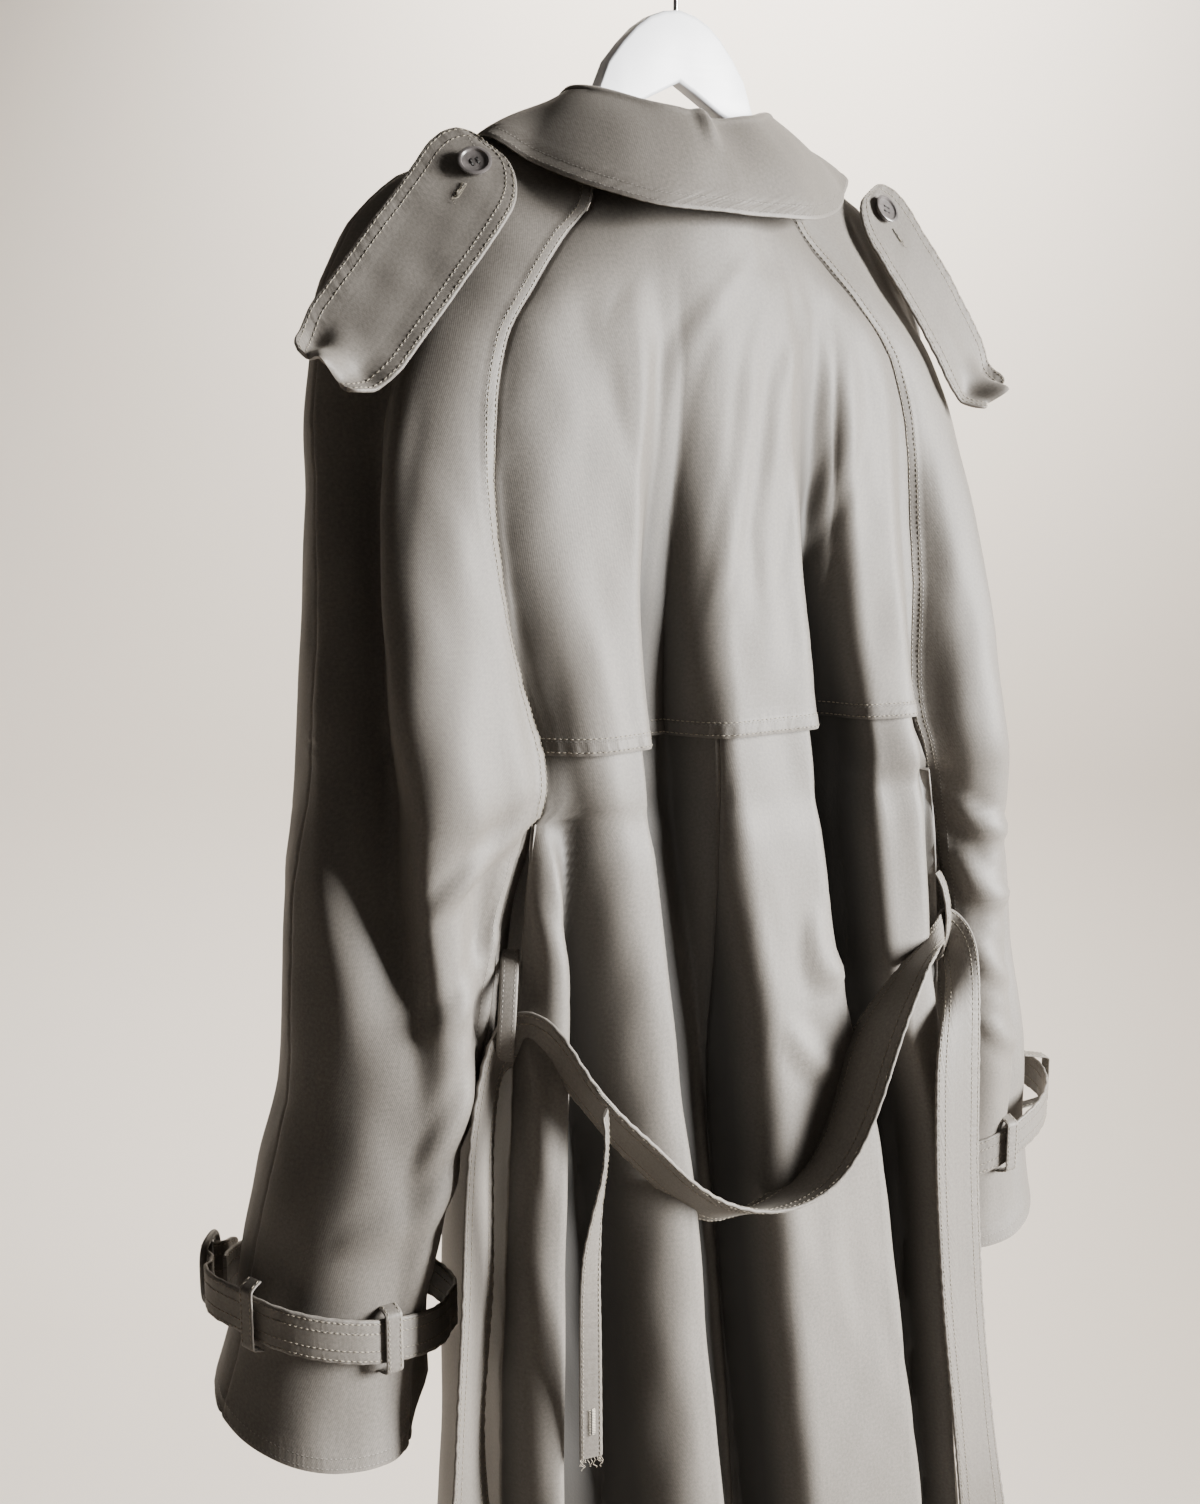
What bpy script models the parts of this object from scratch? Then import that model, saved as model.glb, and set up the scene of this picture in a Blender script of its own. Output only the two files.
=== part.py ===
"""A long double-breasted trench coat, hanging on a flat wooden hanger.

The origin is the inside top of the hanger's hook. +Z is up, the back of the coat faces -Y,
and +X is the wearer's right. Every table below is in millimetres and the model is in metres.

Each cloth piece is a wall of its own: an outer face worked out from the section tables, an
inner face set back along the normals, and rims that close it. Pieces that share a seam share
its points, and each is set back from it by half of the seam gap.
"""

import math

import bmesh
import bpy
import numpy as np
from mathutils import Matrix, Vector

MM = 0.001

# ---------------------------------------------------------------- driving sizes, millimetres
CLOTH = 2.0             # wall of the coat's cloth with its lining
DOUBLE = 2.4            # a turned, stitched band: belt, straps, epaulettes, loops
SEAM = 0.3              # gap between neighbouring pieces
LAYER = 0.6             # gap between a panel and what lies on it
LAPEL_CLOTH = 1.6

SHIELD_HEM = -506.0     # free hem of the storm shield
UNDERARM = -548.0       # where the side seam and the sleeve seam start
HEM = -1310.0           # bottom of the coat
SHIELD_FLARE = 3.5      # how far the shield's hem stands off the back

BACK_HALF = 16          # cells across each half of the back
FRONT_CELLS = 11        # cells across each front
LAPEL_CELLS = 4
COLLAR_HALF = 10        # cells along each half of the collar
VENT_CELLS = 3          # cells across the vent's under-layer
SLEEVE_BACK = 13        # cells round the back half of a sleeve
SLEEVE_FRONT = 8        # cells round its front half

VENT_TOP = -890         # row of the body at which the centre-back vent begins
FRONT_EDGE = 72.0       # the overlapping front reaches this far past the centre
UNDER_EDGE = 45.0       # the front below it reaches this far
LAPEL_TOP = -150.0      # roll line, from the neck ...
LAPEL_FOOT = -440.0     # ... to the first button
NECK_HALF = 58.0        # roll line's distance from the centre at the neck
UNDER_DEPTH = 7.5       # the lower front lies this far inside the upper one
PINCH = 10.0            # the front is drawn in by this much beside the underarm

BUTTON = 20.0           # epaulette button
FRONT_BUTTON = 28.0     # closing button
BELT_WIDTH = 45.0
STRAP_WIDTH = 28.0
EPAULETTE_WIDTH = 66.0
TAB_WIDTH = 15.0
LOOP_WIDTH = 11.0

# Rows of the cloth, from the neck to the underarm, and below it on the body and the sleeves.
UPPER = [-150, -166, -185, -205, -232, -268, -310, -360, -410, -460, -506, -530, -541, -548]
BODY_LOWER = [-575, -620, -690, -780, -890, -1010, -1150, -1310]
SLEEVE_LOWER = [-572, -600, -640, -700, -760, -810, -846, -878, -907]

# Where the sleeve meets the body: the two raglan seams, which end in the underarm point.
ARMHOLE = {
    "z":       [-150, -166, -185, -205, -232, -268, -310, -360, -410, -460, -506, -530, -541, -548],
    "back_x":  [71, 73, 79, 98, 121, 147, 158, 162, 161, 155, 149, 153, 157, 163],
    "back_y":  [-22, -28, -35, -39, -43, -48, -52, -54, -58, -66, -76, -80, -78, -74],
    "front_x": [72, 84, 96, 110, 126, 143, 151, 154, 151, 142, 127, 119, 134, 163],
    "front_y": [35, 42, 48, 54, 60, 67, 73, 75, 73, 64, 38, -6, -46, -74],
}

# Side seams, below the underarm.
SIDE = {
    "z": [-548, -600, -640, -700, -800, -900, -1000, -1150, -1310],
    "x": [163, 169, 173, 177, 182, 187, 190, 201, 216],
    "y": [-74, -76, -76, -76, -78, -80, -82, -86, -92],
}

# Centre of the back between its folds, how square the back is, how far the coat has slid
# sideways, and how much further its seams lean that way.
BACK = {
    "z":      [-150, -166, -185, -205, -232, -268, -310, -360, -410, -460, -506, -548, -600, -680,
               -770, -842, -1000, -1150, -1310],
    "centre": [-57, -61, -66, -70, -73, -73, -70, -65, -58, -52, -48, -48, -51, -58,
               -65, -71, -87, -100, -112],
    "square": [2, 2, 2, 2, 2.1, 2.3, 2.6, 3, 3.5, 4, 4, 4, 4, 4, 4, 4, 4, 4, 4],
    "slide":  [-6, -7, -8, -10, -11, -10, -9, -8, -6, -3, 0, 1, 2, 3, 3, 3, 4, 5, 6],
    "lean":   [0, 0, 0, 0, 0, 0, 0, 0, 0, 1, 3, 6, 5, 4, 3, 2, 0, 0, 0],
    "scoop":  [10, 5, 2, 0, 0, 0, 0, 0, 0, 0, 0, 0, 0, 0, 0, 0, 0, 0, 0],
}

# The back's folds, ridge by ridge: where each crest runs at three heights, the widths of its
# two slopes, and how far it stands out at four heights.
FOLD_HEIGHTS = [-300, -506, -1310]
DEPTH_HEIGHTS = [-215, -340, -506, -900, -1310]
BACK_FOLDS = [
    # crest_x at FOLD_HEIGHTS   left  right  depth at DEPTH_HEIGHTS
    ((-146, -150, -196), 34, 30, (0, 6, 20, 28, 30)),
    ((-62, -72, -70), 52, 26, (2, 20, 40, 46, 50)),
    ((44, 58, 98), 62, 36, (2, 18, 40, 46, 52)),
    ((142, 152, 192), 34, 32, (0, 6, 18, 26, 30)),
]

# Sections of the front, from the side seam round to the centre.
FRONT = {
    "z":       [-150, -166, -185, -205, -232, -268, -310, -360, -410, -460, -506, -530, -541, -548,
                -575, -620, -690, -780, -890, -1010, -1150, -1310],
    "tuck_x":  [68, 78, 88, 100, 114, 129, 138, 142, 140, 134, 123, 117, 115, 113,
                114, 126, 142, 160, 170, 176, 186, 198],
    "tuck_y":  [41, 48, 54, 61, 68, 76, 81, 84, 83, 76, 54, 24, 8, -8,
                -10, -12, -12, -12, -10, -8, -8, -10],
    "chest_x": [60, 66, 74, 84, 96, 106, 113, 116, 118, 118, 122, 124, 124, 125,
                130, 138, 143, 146, 147, 148, 158, 172],
    "chest_y": [48, 56, 63, 70, 77, 84, 89, 92, 92, 90, 84, 80, 79, 78,
                76, 74, 71, 70, 70, 71, 75, 82],
    "centre_y": [66, 71, 76, 80, 84, 88, 92, 95, 96, 96, 95, 94, 94, 94,
                 93, 93, 93, 93, 94, 95, 99, 106],
}

# Soft folds of the fronts: crest at the top and the hem, width, depth at the hem.
FRONT_FOLDS = [
    # crest_x top, hem   width  depth
    (112, 138, 30, 12),
    (30, 44, 34, 8),
]

# Sections of a sleeve: an oval round a centre, swept forward at its outer side, with the
# part of each row that lies on the shoulder lifted.
SLEEVE = {
    "z":     [-150, -166, -185, -205, -232, -268, -310, -360, -410, -460, -506, -530, -548, -572,
              -600, -640, -700, -760, -810, -846, -878, -907],
    "x":     [70, 77, 88, 106, 130, 158, 176, 186, 191, 193, 195, 198, 202, 208,
              214, 219, 226, 243, 253, 258, 263, 266],
    "y":     [8, 9, 10, 10, 11, 13, 14, 11, 7, 3, -1, -4, -5, -6,
              -8, -12, -13, -11, -8, -6, -5, -4],
    "half_width": [20, 66, 97, 102, 98, 79, 67, 60, 60, 63, 68, 72, 74, 74,
                   72, 71, 69, 66, 66, 66, 68, 72],
    "half_depth": [29, 35, 43, 48, 53, 60, 67, 75, 81, 86, 88, 86, 82, 76,
                   71, 69, 69, 70, 66, 62, 63, 67],
    "sweep": [0, 8, 18, 22, 20, 15, 10, 5, 0, 0, 0, 0, 0, 0, 0, 0, 0, 0, 0, 0, 0, 0],
    "lift":  [24, 13, 14, 12, 5, 0, 0, 0, 0, 0, 0, 0, 0, 0, 0, 0, 0, 0, 0, 0, 0, 0],
    "tilt":  [0, 0, 0, 0, 0, 0, 0, 0, 0, 0, 0, 0, 0, 0, 0, 0, 0, 0, 3, 6, 14, 22],
}
TILT_TOWARDS = 75.0     # the cuff is highest at this angle from straight out, towards the front

# Folds that run down the sleeves: angle from straight out at the top and the bottom of the
# fold (the back is negative), angular half-width, height in or out, and the heights between
# which it runs.
SLEEVE_FOLDS = {
    "left": [
        (-30, -86, 31, -24, -215, -900),
        (-66, -120, 28, 5, -260, -860),
        (62, 86, 28, -14, -330, -880),
    ],
    "right": [
        (-40, -70, 30, -18, -230, -900),
        (-76, -108, 28, 5, -300, -860),
        (58, 80, 28, -16, -320, -880),
    ],
}
FOLD_SWING = 1.3        # the folds turn round the sleeve mostly in their lower part
SIDES = {"left": -1.0, "right": 1.0}

# The collar from its centre back round to its front end: the neck seam is the body's own
# edge, then the fold line and the free edge.
COLLAR = {
    "fold_x": [0, 30, 56, 75, 75, 66, 57],
    "fold_y": [-47, -42, -24, 2, 24, 41, 50],
    "fold_z": [-131, -127, -118, -113, -121, -136, -148],
    "fold_slide": [-8, -7, -5, -2, 0, 0, 0],
    "edge_x": [0, 48, 87, 121, 142, 141, 98],
    "edge_y": [-84, -80, -58, -24, 6, 56, 92],
    "edge_z": [-191, -190, -181, -163, -145, -163, -236],
    "edge_slide": [-11, -9, -5, 0, 4, 2, 0],
}
COLLAR_CLOTH = 1.8
COLLAR_ROLL = 3.2       # radius of its fold

# Lapels: width of the turned part at four heights.
LAPEL_HEIGHTS = [-196, -240, -262, -425]
LAPEL_WIDTHS = [40, 92, 84, 10]
LAPEL_STAND = 2.4       # how far its outer edge stands off the front

# Epaulettes, drawn for the wearer's right: the line down the middle from the rounded tip at
# the collar to the outer end, and which way their width runs.
EPAULETTES = {
    "left": {
        "line": [(147, -19, -155), (176, -28, -191), (206, -32, -226), (238, -36, -263), (262, -38, -291)],
        "across": (-0.50, -0.64, -0.58),
    },
    "right": {
        "line": [(150, -17, -156), (170, -30, -190), (192, -40, -226), (213, -48, -263), (229, -53, -293)],
        "across": (-0.80, -0.34, -0.49),
    },
}
EPAULETTE_TIP = 30.0    # length of the rounded tip
EPAULETTE_PINCH = 30.0  # length over which the outer end is folded together
PINCH_DEPTH = 9.0
EPAULETTE_CELLS = 16

# The wooden hanger, half of it: top and bottom of the board from the middle outwards.
BOARD_X = [0, 12, 22, 32, 42, 52, 61, 71, 83, 97, 120, 148, 176, 192, 198]
BOARD_TOP = [-58, -60, -64, -71, -81, -93, -114, -134, -139, -146, -152, -164, -179, -190, -196]
BOARD_BOTTOM = [-101, -107, -112, -117, -121, -127, -135, -145, -152, -158, -168, -184, -198, -204, -204]
BOARD = 12.0            # thickness of the board
BOARD_BEND = 1250.0     # its arms sweep forwards by x squared over this
HOOK_WIRE = 1.6         # radius of the hook's wire
HOOK_INSIDE = 16.0      # inside radius of the hook

# The belt where it hangs across the back between its loops: its middle line, how far its
# upper edge is turned towards the coat, and how far its sections stay upright.
BELT = {
    "x":       [-169, -157, -136, -111, -80, -45, -8, 30, 66, 98, 130, 162, 183],
    "y":       [-81, -98, -112, -124, -132, -136, -135, -133, -129, -119, -106, -93, -81],
    "z":       [-668, -680, -703, -737, -768, -790, -799, -790, -764, -733, -700, -675, -665],
    "turn":    [0, 25, 52, 58, 62, 68, 72, 62, 38, 22, 16, 12, 0],
    "upright": [1, 0.5, 0, 0, 0, 0, 0, 0, 0, 0, 0, 0.3, 0.8],
    "width":   [37, 42, 45, 45, 45, 45, 45, 45, 45, 45, 45, 42, 37],
}
# Beyond the left loop it turns down along the side of the coat, beyond the right one it
# turns down and hangs free: its two edges from the loop to the end.
LEFT_END = [
    # front edge             back edge
    ((-172, -71, -650), (-174, -76, -687)),
    ((-154, -56, -660), (-171, -73, -698)),
    ((-152, -44, -690), (-170, -68, -712)),
    ((-156, -28, -740), (-173, -62, -745)),
    ((-164, -15, -800), (-177, -57, -802)),
    ((-173, -13, -860), (-181, -55, -861)),
    ((-189, -15, -1000), (-189, -59, -1000)),
    ((-195, -17, -1130), (-198, -62, -1130)),
    ((-202, -18, -1250), (-206, -63, -1250)),
]
RIGHT_END = [
    # back edge              front edge
    ((191, -73, -646), (190, -73, -682)),
    ((201, -84, -654), (192, -72, -690)),
    ((204, -97, -704), (192, -68, -706)),
    ((209, -104, -760), (194, -62, -761)),
    ((214, -102, -886), (200, -60, -886)),
    ((220, -113, -1010), (204, -72, -1010)),
    ((238, -126, -1160), (214, -90, -1160)),
    ((246, -132, -1262), (221, -96, -1262)),
]
BELT_CELLS = 54         # cells along the belt
LOOP_HEIGHTS = {"left": (-622, -710), "right": (-616, -698)}
LOOP_STAND = 15.5       # how far the belt loops stand off the side seams

# Cuff straps: height of the middle, and where the buckle sits.
STRAP_Z = -846.0
STRAP_STAND = 4.0       # gap between a strap and the sleeve
STRAP_CELLS = 30        # cells from its start to its buckle
STRAP_TAIL = 46.0       # length that has passed through the buckle
STRAP_DROOP = 0.8       # how steeply that end hangs down
STRAPS = {
    "left":  {"rise": 0.22, "stand_out": 0.0},
    "right": {"rise": 0.26, "stand_out": 16.0},
}
BUCKLE_ANGLE = 38.0     # angle of the buckle, from straight out towards the front
BUCKLE_OUT = 13.0       # distance from the inside of the strap to the buckle's plate
BUCKLE_PLATE = 4.0
BAR_PITCH = 14.5        # distance from the buckle's middle bar to its side bars
WEAVE = 4.4             # how far the strap passes over the middle bar and under the others
BELT_BUCKLE = 54.0
CUFF_LOOP_ANGLES = (-19.0, -90.0)

# The narrow hanging tab that is threaded through the belt.
TAB = {
    "z":    [-706, -716, -735, -765, -800, -860, -936],
    "x":    [-135, -137, -141, -146, -147, -145, -143],
    "y":    [-143, -146, -147, -140, -131, -124, -120],
    "turn": [-40, -44, -42, -18, 0, 8, 12],
}

# Closing buttons: height and distance from the centre.
BUTTON_ROWS = [(-442, 58), (-572, 56), (-712, 56), (-850, 50)]


# ---------------------------------------------------------------- curves and tables
def smooth(xs, ys, x):
    """A smooth curve through points with rising xs, which never overshoots them."""
    xs = np.asarray(xs, float)
    ys = np.asarray(ys, float)
    x = np.clip(np.asarray(x, float), xs[0], xs[-1])
    gaps = np.diff(xs)
    slopes = np.diff(ys) / gaps
    tangents = np.zeros_like(ys)
    tangents[0] = slopes[0]
    tangents[-1] = slopes[-1]
    same_way = slopes[:-1] * slopes[1:] > 0
    total = np.where(same_way, slopes[:-1] + slopes[1:], 1.0)
    tangents[1:-1] = np.where(same_way, 2 * slopes[:-1] * slopes[1:] / total, 0.0)
    cell = np.clip(np.searchsorted(xs, x, side="right") - 1, 0, len(gaps) - 1)
    gap = gaps[cell]
    t = (x - xs[cell]) / gap
    return (ys[cell] * (1 + 2 * t) * (1 - t) ** 2 + ys[cell + 1] * t * t * (3 - 2 * t)
            + gap * tangents[cell] * t * (1 - t) ** 2 - gap * tangents[cell + 1] * t * t * (1 - t))


def look_up(table, column, z):
    """Value of a table's column at height z."""
    return smooth(-np.asarray(table["z"], float), table[column], -np.asarray(z, float))


def at_heights(heights, values, z):
    """Value at height z of a short row of values given at falling heights."""
    return smooth(-np.asarray(heights, float), values, -np.asarray(z, float))


def step(x):
    """0 below 0, 1 above 1, and smooth between."""
    x = np.clip(x, 0.0, 1.0)
    return x * x * (3 - 2 * x)


def bump(x):
    """1 at 0, falling smoothly to 0 at -1 and 1."""
    return np.where(np.abs(x) < 1, 0.5 + 0.5 * np.cos(math.pi * np.clip(x, -1, 1)), 0.0)


def spline(points, count=160):
    """A smooth path through a few points, with its length as the parameter."""
    points = np.asarray(points, float)
    lengths = np.r_[0, np.cumsum(np.linalg.norm(np.diff(points, axis=0), axis=1))]
    where = np.linspace(0, lengths[-1], count)
    return np.stack([smooth(lengths, points[:, k], where) for k in range(points.shape[1])], 1)


def even(path, cells):
    """The path's points at equal lengths."""
    lengths = np.r_[0, np.cumsum(np.linalg.norm(np.diff(path, axis=0), axis=1))]
    where = np.linspace(0, lengths[-1], cells + 1)
    return np.stack([np.interp(where, lengths, path[:, k]) for k in range(path.shape[1])], 1)


# ---------------------------------------------------------------- sections of the coat
def slide(z):
    """How far a seam has slid sideways at height z."""
    return look_up(BACK, "slide", z) + look_up(BACK, "lean", z)


def side_edge(z):
    """Edge of the back at height z: the raglan seam, or the side seam below the underarm."""
    if z > UNDERARM:
        return look_up(ARMHOLE, "back_x", z), look_up(ARMHOLE, "back_y", z)
    return look_up(SIDE, "x", z), look_up(SIDE, "y", z)


def back_row(z):
    """The back's section at height z, from the left edge to the right one."""
    edge_x, edge_y = side_edge(z)
    centre = look_up(BACK, "centre", z)
    across = np.linspace(-1, 1, 801)
    x = across * edge_x
    y = centre + (edge_y - centre) * np.abs(across) ** look_up(BACK, "square", z)
    held = 1 - np.abs(across) ** 10
    for crest, left, right, depth in BACK_FOLDS:
        away = x - at_heights(FOLD_HEIGHTS, crest, z)
        out = at_heights(DEPTH_HEIGHTS, depth, z)
        y = y - held * out * bump(away / np.where(away < 0, left, right))
    height = z - look_up(BACK, "scoop", z) * (1 - across ** 2)
    x = x + look_up(BACK, "slide", z) + look_up(BACK, "lean", z) * across ** 2
    path = np.stack([x, y, height], 1)
    half = len(across) // 2
    return np.vstack([even(path[:half + 1], BACK_HALF), even(path[half:], BACK_HALF)[1:]])


def roll_x(z, reach):
    """Edge of a front at height z, on its own side of the centre above the lapel's foot."""
    down = (LAPEL_TOP - z) / (LAPEL_TOP - LAPEL_FOOT)
    return NECK_HALF - (NECK_HALF + reach) * np.clip(down, 0, 1)


def front_row(z, side, reach, inside):
    """A front's section at height z, from its seam to its edge, drawn for the wearer's right.

    reach is how far the edge passes the centre, and inside is how far the overlap lies
    below the other front."""
    if z > UNDERARM:
        seam = (look_up(ARMHOLE, "front_x", z), look_up(ARMHOLE, "front_y", z))
    else:
        seam = (look_up(SIDE, "x", z), look_up(SIDE, "y", z))
    drift = side * slide(z)
    chest_x = look_up(FRONT, "chest_x", z)
    chest_y = look_up(FRONT, "chest_y", z)
    centre_y = look_up(FRONT, "centre_y", z)
    seam = np.array([seam[0] + drift, seam[1]])
    tuck = np.array([look_up(FRONT, "tuck_x", z) + drift, look_up(FRONT, "tuck_y", z)])
    pinched = 0.55 * seam + 0.45 * tuck
    pinched[0] -= PINCH * step((-525 - z) / 20) * step((z + 800) / 160)
    guides = [
        seam,
        pinched,
        tuck,
        (chest_x + drift, chest_y),
        (0.5 * chest_x, 0.25 * chest_y + 0.75 * centre_y),
        (0.0, centre_y),
        (-0.5 * chest_x, 0.25 * chest_y + 0.75 * centre_y),
        (-chest_x, chest_y),
    ]
    path = spline(guides, 600)
    for top, hem, width, depth in FRONT_FOLDS:
        crest = at_heights((-560, HEM), (top, hem), z)
        out = depth * step((-520 - z) / 500)
        path[:, 1] += out * bump((path[:, 0] - crest) / width)
    lap = step((100 - path[:, 0]) / 36) * step((-190 - z) / 70)
    path[:, 1] -= inside * lap
    last = np.argmax(path[:, 0] <= roll_x(z, reach))
    row = even(path[:last + 1], FRONT_CELLS)
    return np.c_[row, np.full(len(row), float(z))]


def sleeve_axis(z, side):
    """Centre of a sleeve's section at height z."""
    swung = side * slide(z) * step((-440 - z) / 100)
    return np.array([look_up(SLEEVE, "x", z) + swung, look_up(SLEEVE, "y", z)])


def sleeve_row(z, side, folds):
    """A sleeve's section, from the back seam round the outside to the front seam, drawn for
    the wearer's right."""
    centre = sleeve_axis(z, side)
    half = np.array([look_up(SLEEVE, "half_width", z), look_up(SLEEVE, "half_depth", z)])
    seam_z = max(z, UNDERARM)
    drift = side * slide(seam_z)
    hub = sleeve_axis(seam_z, side)
    hub_half = np.array([look_up(SLEEVE, "half_width", seam_z), look_up(SLEEVE, "half_depth", seam_z)])
    back = np.array([look_up(ARMHOLE, "back_x", seam_z) + drift, look_up(ARMHOLE, "back_y", seam_z)]) - hub
    front = np.array([look_up(ARMHOLE, "front_x", seam_z) + drift, look_up(ARMHOLE, "front_y", seam_z)]) - hub
    start = math.atan2(back[1], back[0])
    end = math.atan2(front[1], front[0])
    if end < 0:
        end += 2 * math.pi
    drawn_in = 1 - step((UNDERARM - z) / 60)
    rows = []
    for first, last, cells in ((start, 0.0, SLEEVE_BACK), (0.0, end, SLEEVE_FRONT)):
        angle = np.linspace(first, last, 240)
        oval = 1 / np.hypot(np.cos(angle) / half[0], np.sin(angle) / half[1])
        radius = oval.copy()
        for top, bottom, width, out, z_top, z_bottom in folds:
            down = np.clip((z_top - z) / (z_top - z_bottom), 0, 1)
            crest = math.radians(top + (bottom - top) * down ** FOLD_SWING)
            grown = step((z_top - z) / 90) * step((z - z_bottom) / 90)
            radius = radius + out * grown * bump((angle - crest) / math.radians(width))
        for place, point in ((start, back), (end, front)):
            plain = 1 / math.hypot(math.cos(place) / hub_half[0], math.sin(place) / hub_half[1])
            near = (1 - np.clip(np.abs(angle - place) / math.radians(55), 0, 1)) ** 2
            radius = radius + (np.linalg.norm(point) - plain) * near * drawn_in
        outward = np.clip(np.cos(angle), 0, 1)
        x = centre[0] + radius * np.cos(angle)
        y = centre[1] + radius * np.sin(angle) + look_up(SLEEVE, "sweep", z) * outward ** 2
        lean = np.cos(angle - math.radians(TILT_TOWARDS))
        height = z + look_up(SLEEVE, "lift", z) * outward ** 1.5 + look_up(SLEEVE, "tilt", z) * lean
        rows.append(even(np.stack([x, y, height], 1), cells))
    return np.vstack([rows[0], rows[1][1:]])


# ---------------------------------------------------------------- normals and walls
def unit(v):
    return v / np.maximum(np.linalg.norm(v, axis=-1, keepdims=True), 1e-9)


def normals(grid, ring=False):
    """Unit normals of a grid of points; ring says that its columns close on themselves."""
    along = np.gradient(grid, axis=0)
    across = np.gradient(grid, axis=1)
    if ring:
        seam = grid[:, 1] - grid[:, -2]
        across[:, 0] = seam
        across[:, -1] = seam
    return unit(np.cross(across, along))


def mitre(first, second):
    """The direction in which two walls of thickness 1 meet at their seam."""
    total = first + second
    return 2 * total / np.maximum((total ** 2).sum(-1, keepdims=True), 1.0)


def seam_out(first, second, to_second):
    """Outward directions of two walls along their shared seam.

    They share one where the seam lies flat or on a ridge, and in a sharp valley each keeps
    its own, because there the walls lie on the seam's far sides."""
    shared = mitre(first, second)
    facing = (first * second).sum(-1, keepdims=True)
    valley = (unit(to_second) * first).sum(-1, keepdims=True) > 0
    own = np.where(valley, np.clip((0.5 - facing) / 0.8, 0, 1), 0.0)
    return shared * (1 - own) + first * own, shared * (1 - own) + second * own


def set_back(grid, columns=(), rows=(), by=SEAM / 2):
    """The grid with the named edges moved inwards along the cloth by half a seam gap."""
    moved = grid.copy()
    for column in columns:
        inner = 1 if column == 0 else -2
        moved[:, column] += by * unit(grid[:, inner] - grid[:, column])
    for row in rows:
        inner = 1 if row == 0 else -2
        moved[row] += by * unit(grid[inner] - grid[row])
    return moved


def add_object(name, verts, faces, material):
    """A named object made of triangles, with its faces turned outwards."""
    verts = np.asarray(verts)
    tris = np.asarray(faces)
    corners = verts[tris]
    volume = np.einsum("ij,ij->i", corners[:, 0], np.cross(corners[:, 1], corners[:, 2])).sum()
    if volume < 0:
        tris = tris[:, ::-1]
    mesh = bpy.data.meshes.new(name)
    mesh.from_pydata((verts * MM).tolist(), [], tris.tolist())
    mesh.shade_smooth()
    mesh.set_sharp_from_angle(angle=math.radians(40))
    mesh.materials.append(material)
    made = bpy.data.objects.new(name, mesh)
    COAT.objects.link(made)
    return made


def wall(name, outer, inner, material):
    """A closed wall between two grids of points."""
    rows, columns = outer.shape[:2]
    count = rows * columns
    verts = np.vstack([outer.reshape(-1, 3), inner.reshape(-1, 3)])
    index = np.arange(count).reshape(rows, columns)
    a = index[:-1, :-1].ravel()
    b = index[:-1, 1:].ravel()
    c = index[1:, 1:].ravel()
    d = index[1:, :-1].ravel()
    skin = np.vstack([np.stack([a, b, c], 1), np.stack([a, c, d], 1)])
    border = np.r_[index[0, :-1], index[:-1, -1], index[-1, :0:-1], index[:0:-1, 0]]
    after = np.roll(border, -1)
    rim = np.vstack([np.stack([after, border, border + count], 1),
                     np.stack([after, border + count, after + count], 1)])
    return add_object(name, verts, np.vstack([skin, skin[:, ::-1] + count, rim]), material)


def side_of(grid, side):
    """A grid drawn for the wearer's right, put on its own side."""
    return grid * (side, 1.0, 1.0)


# ---------------------------------------------------------------- materials
def make_material(name, colour, roughness, metallic=0.0):
    material = bpy.data.materials.new(name)
    material.use_nodes = True
    shader = material.node_tree.nodes["Principled BSDF"]
    shader.inputs["Base Color"].default_value = (*colour, 1.0)
    shader.inputs["Roughness"].default_value = roughness
    shader.inputs["Metallic"].default_value = metallic
    return material


def clear_scene():
    for item in list(bpy.data.objects):
        bpy.data.objects.remove(item)


clear_scene()
COAT = bpy.data.collections.new("trench_coat")
CUTTERS = bpy.data.collections.new("cutters")
bpy.context.scene.collection.children.link(COAT)
bpy.context.scene.collection.children.link(CUTTERS)

TWILL = make_material("coat_twill", (0.150, 0.136, 0.108), 0.62)
UNDERSIDE = make_material("twill_underside", (0.120, 0.108, 0.088), 0.70)
HORN = make_material("button_horn", (0.105, 0.095, 0.092), 0.35)
PAINT = make_material("white_paint", (0.86, 0.87, 0.90), 0.40)
STEEL = make_material("hook_steel", (0.62, 0.62, 0.63), 0.28, 1.0)
LEATHER = make_material("buckle_leather", (0.085, 0.078, 0.066), 0.50)


# ---------------------------------------------------------------- the body and the sleeves
BODY_ROWS = UPPER + BODY_LOWER
SLEEVE_ROWS = UPPER + SLEEVE_LOWER
ARM_ROWS = len(UPPER)
CENTRE = BACK_HALF
TOP_SEAM = SLEEVE_BACK

back_face = np.array([back_row(z) for z in BODY_ROWS])
front_faces = {
    "left": np.array([front_row(z, -1.0, FRONT_EDGE, 0.0) for z in BODY_ROWS]),
    "right": np.array([front_row(z, 1.0, UNDER_EDGE, UNDER_DEPTH) for z in BODY_ROWS]),
}
sleeve_faces = {
    name: np.array([sleeve_row(z, side, SLEEVE_FOLDS[name]) for z in SLEEVE_ROWS])
    for name, side in SIDES.items()
}

# The back's grid runs from left to right, so its normals point backwards; those of the
# fronts and sleeves, drawn for the right, are turned to point out of the coat.
back_out = -normals(back_face)
front_out = {name: -normals(face) for name, face in front_faces.items()}
sleeve_out = {}
for name, face in sleeve_faces.items():
    out = -normals(face)
    closed = slice(ARM_ROWS - 1, None)
    out[closed] = -normals(face, ring=True)[closed]
    sleeve_out[name] = out

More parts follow.
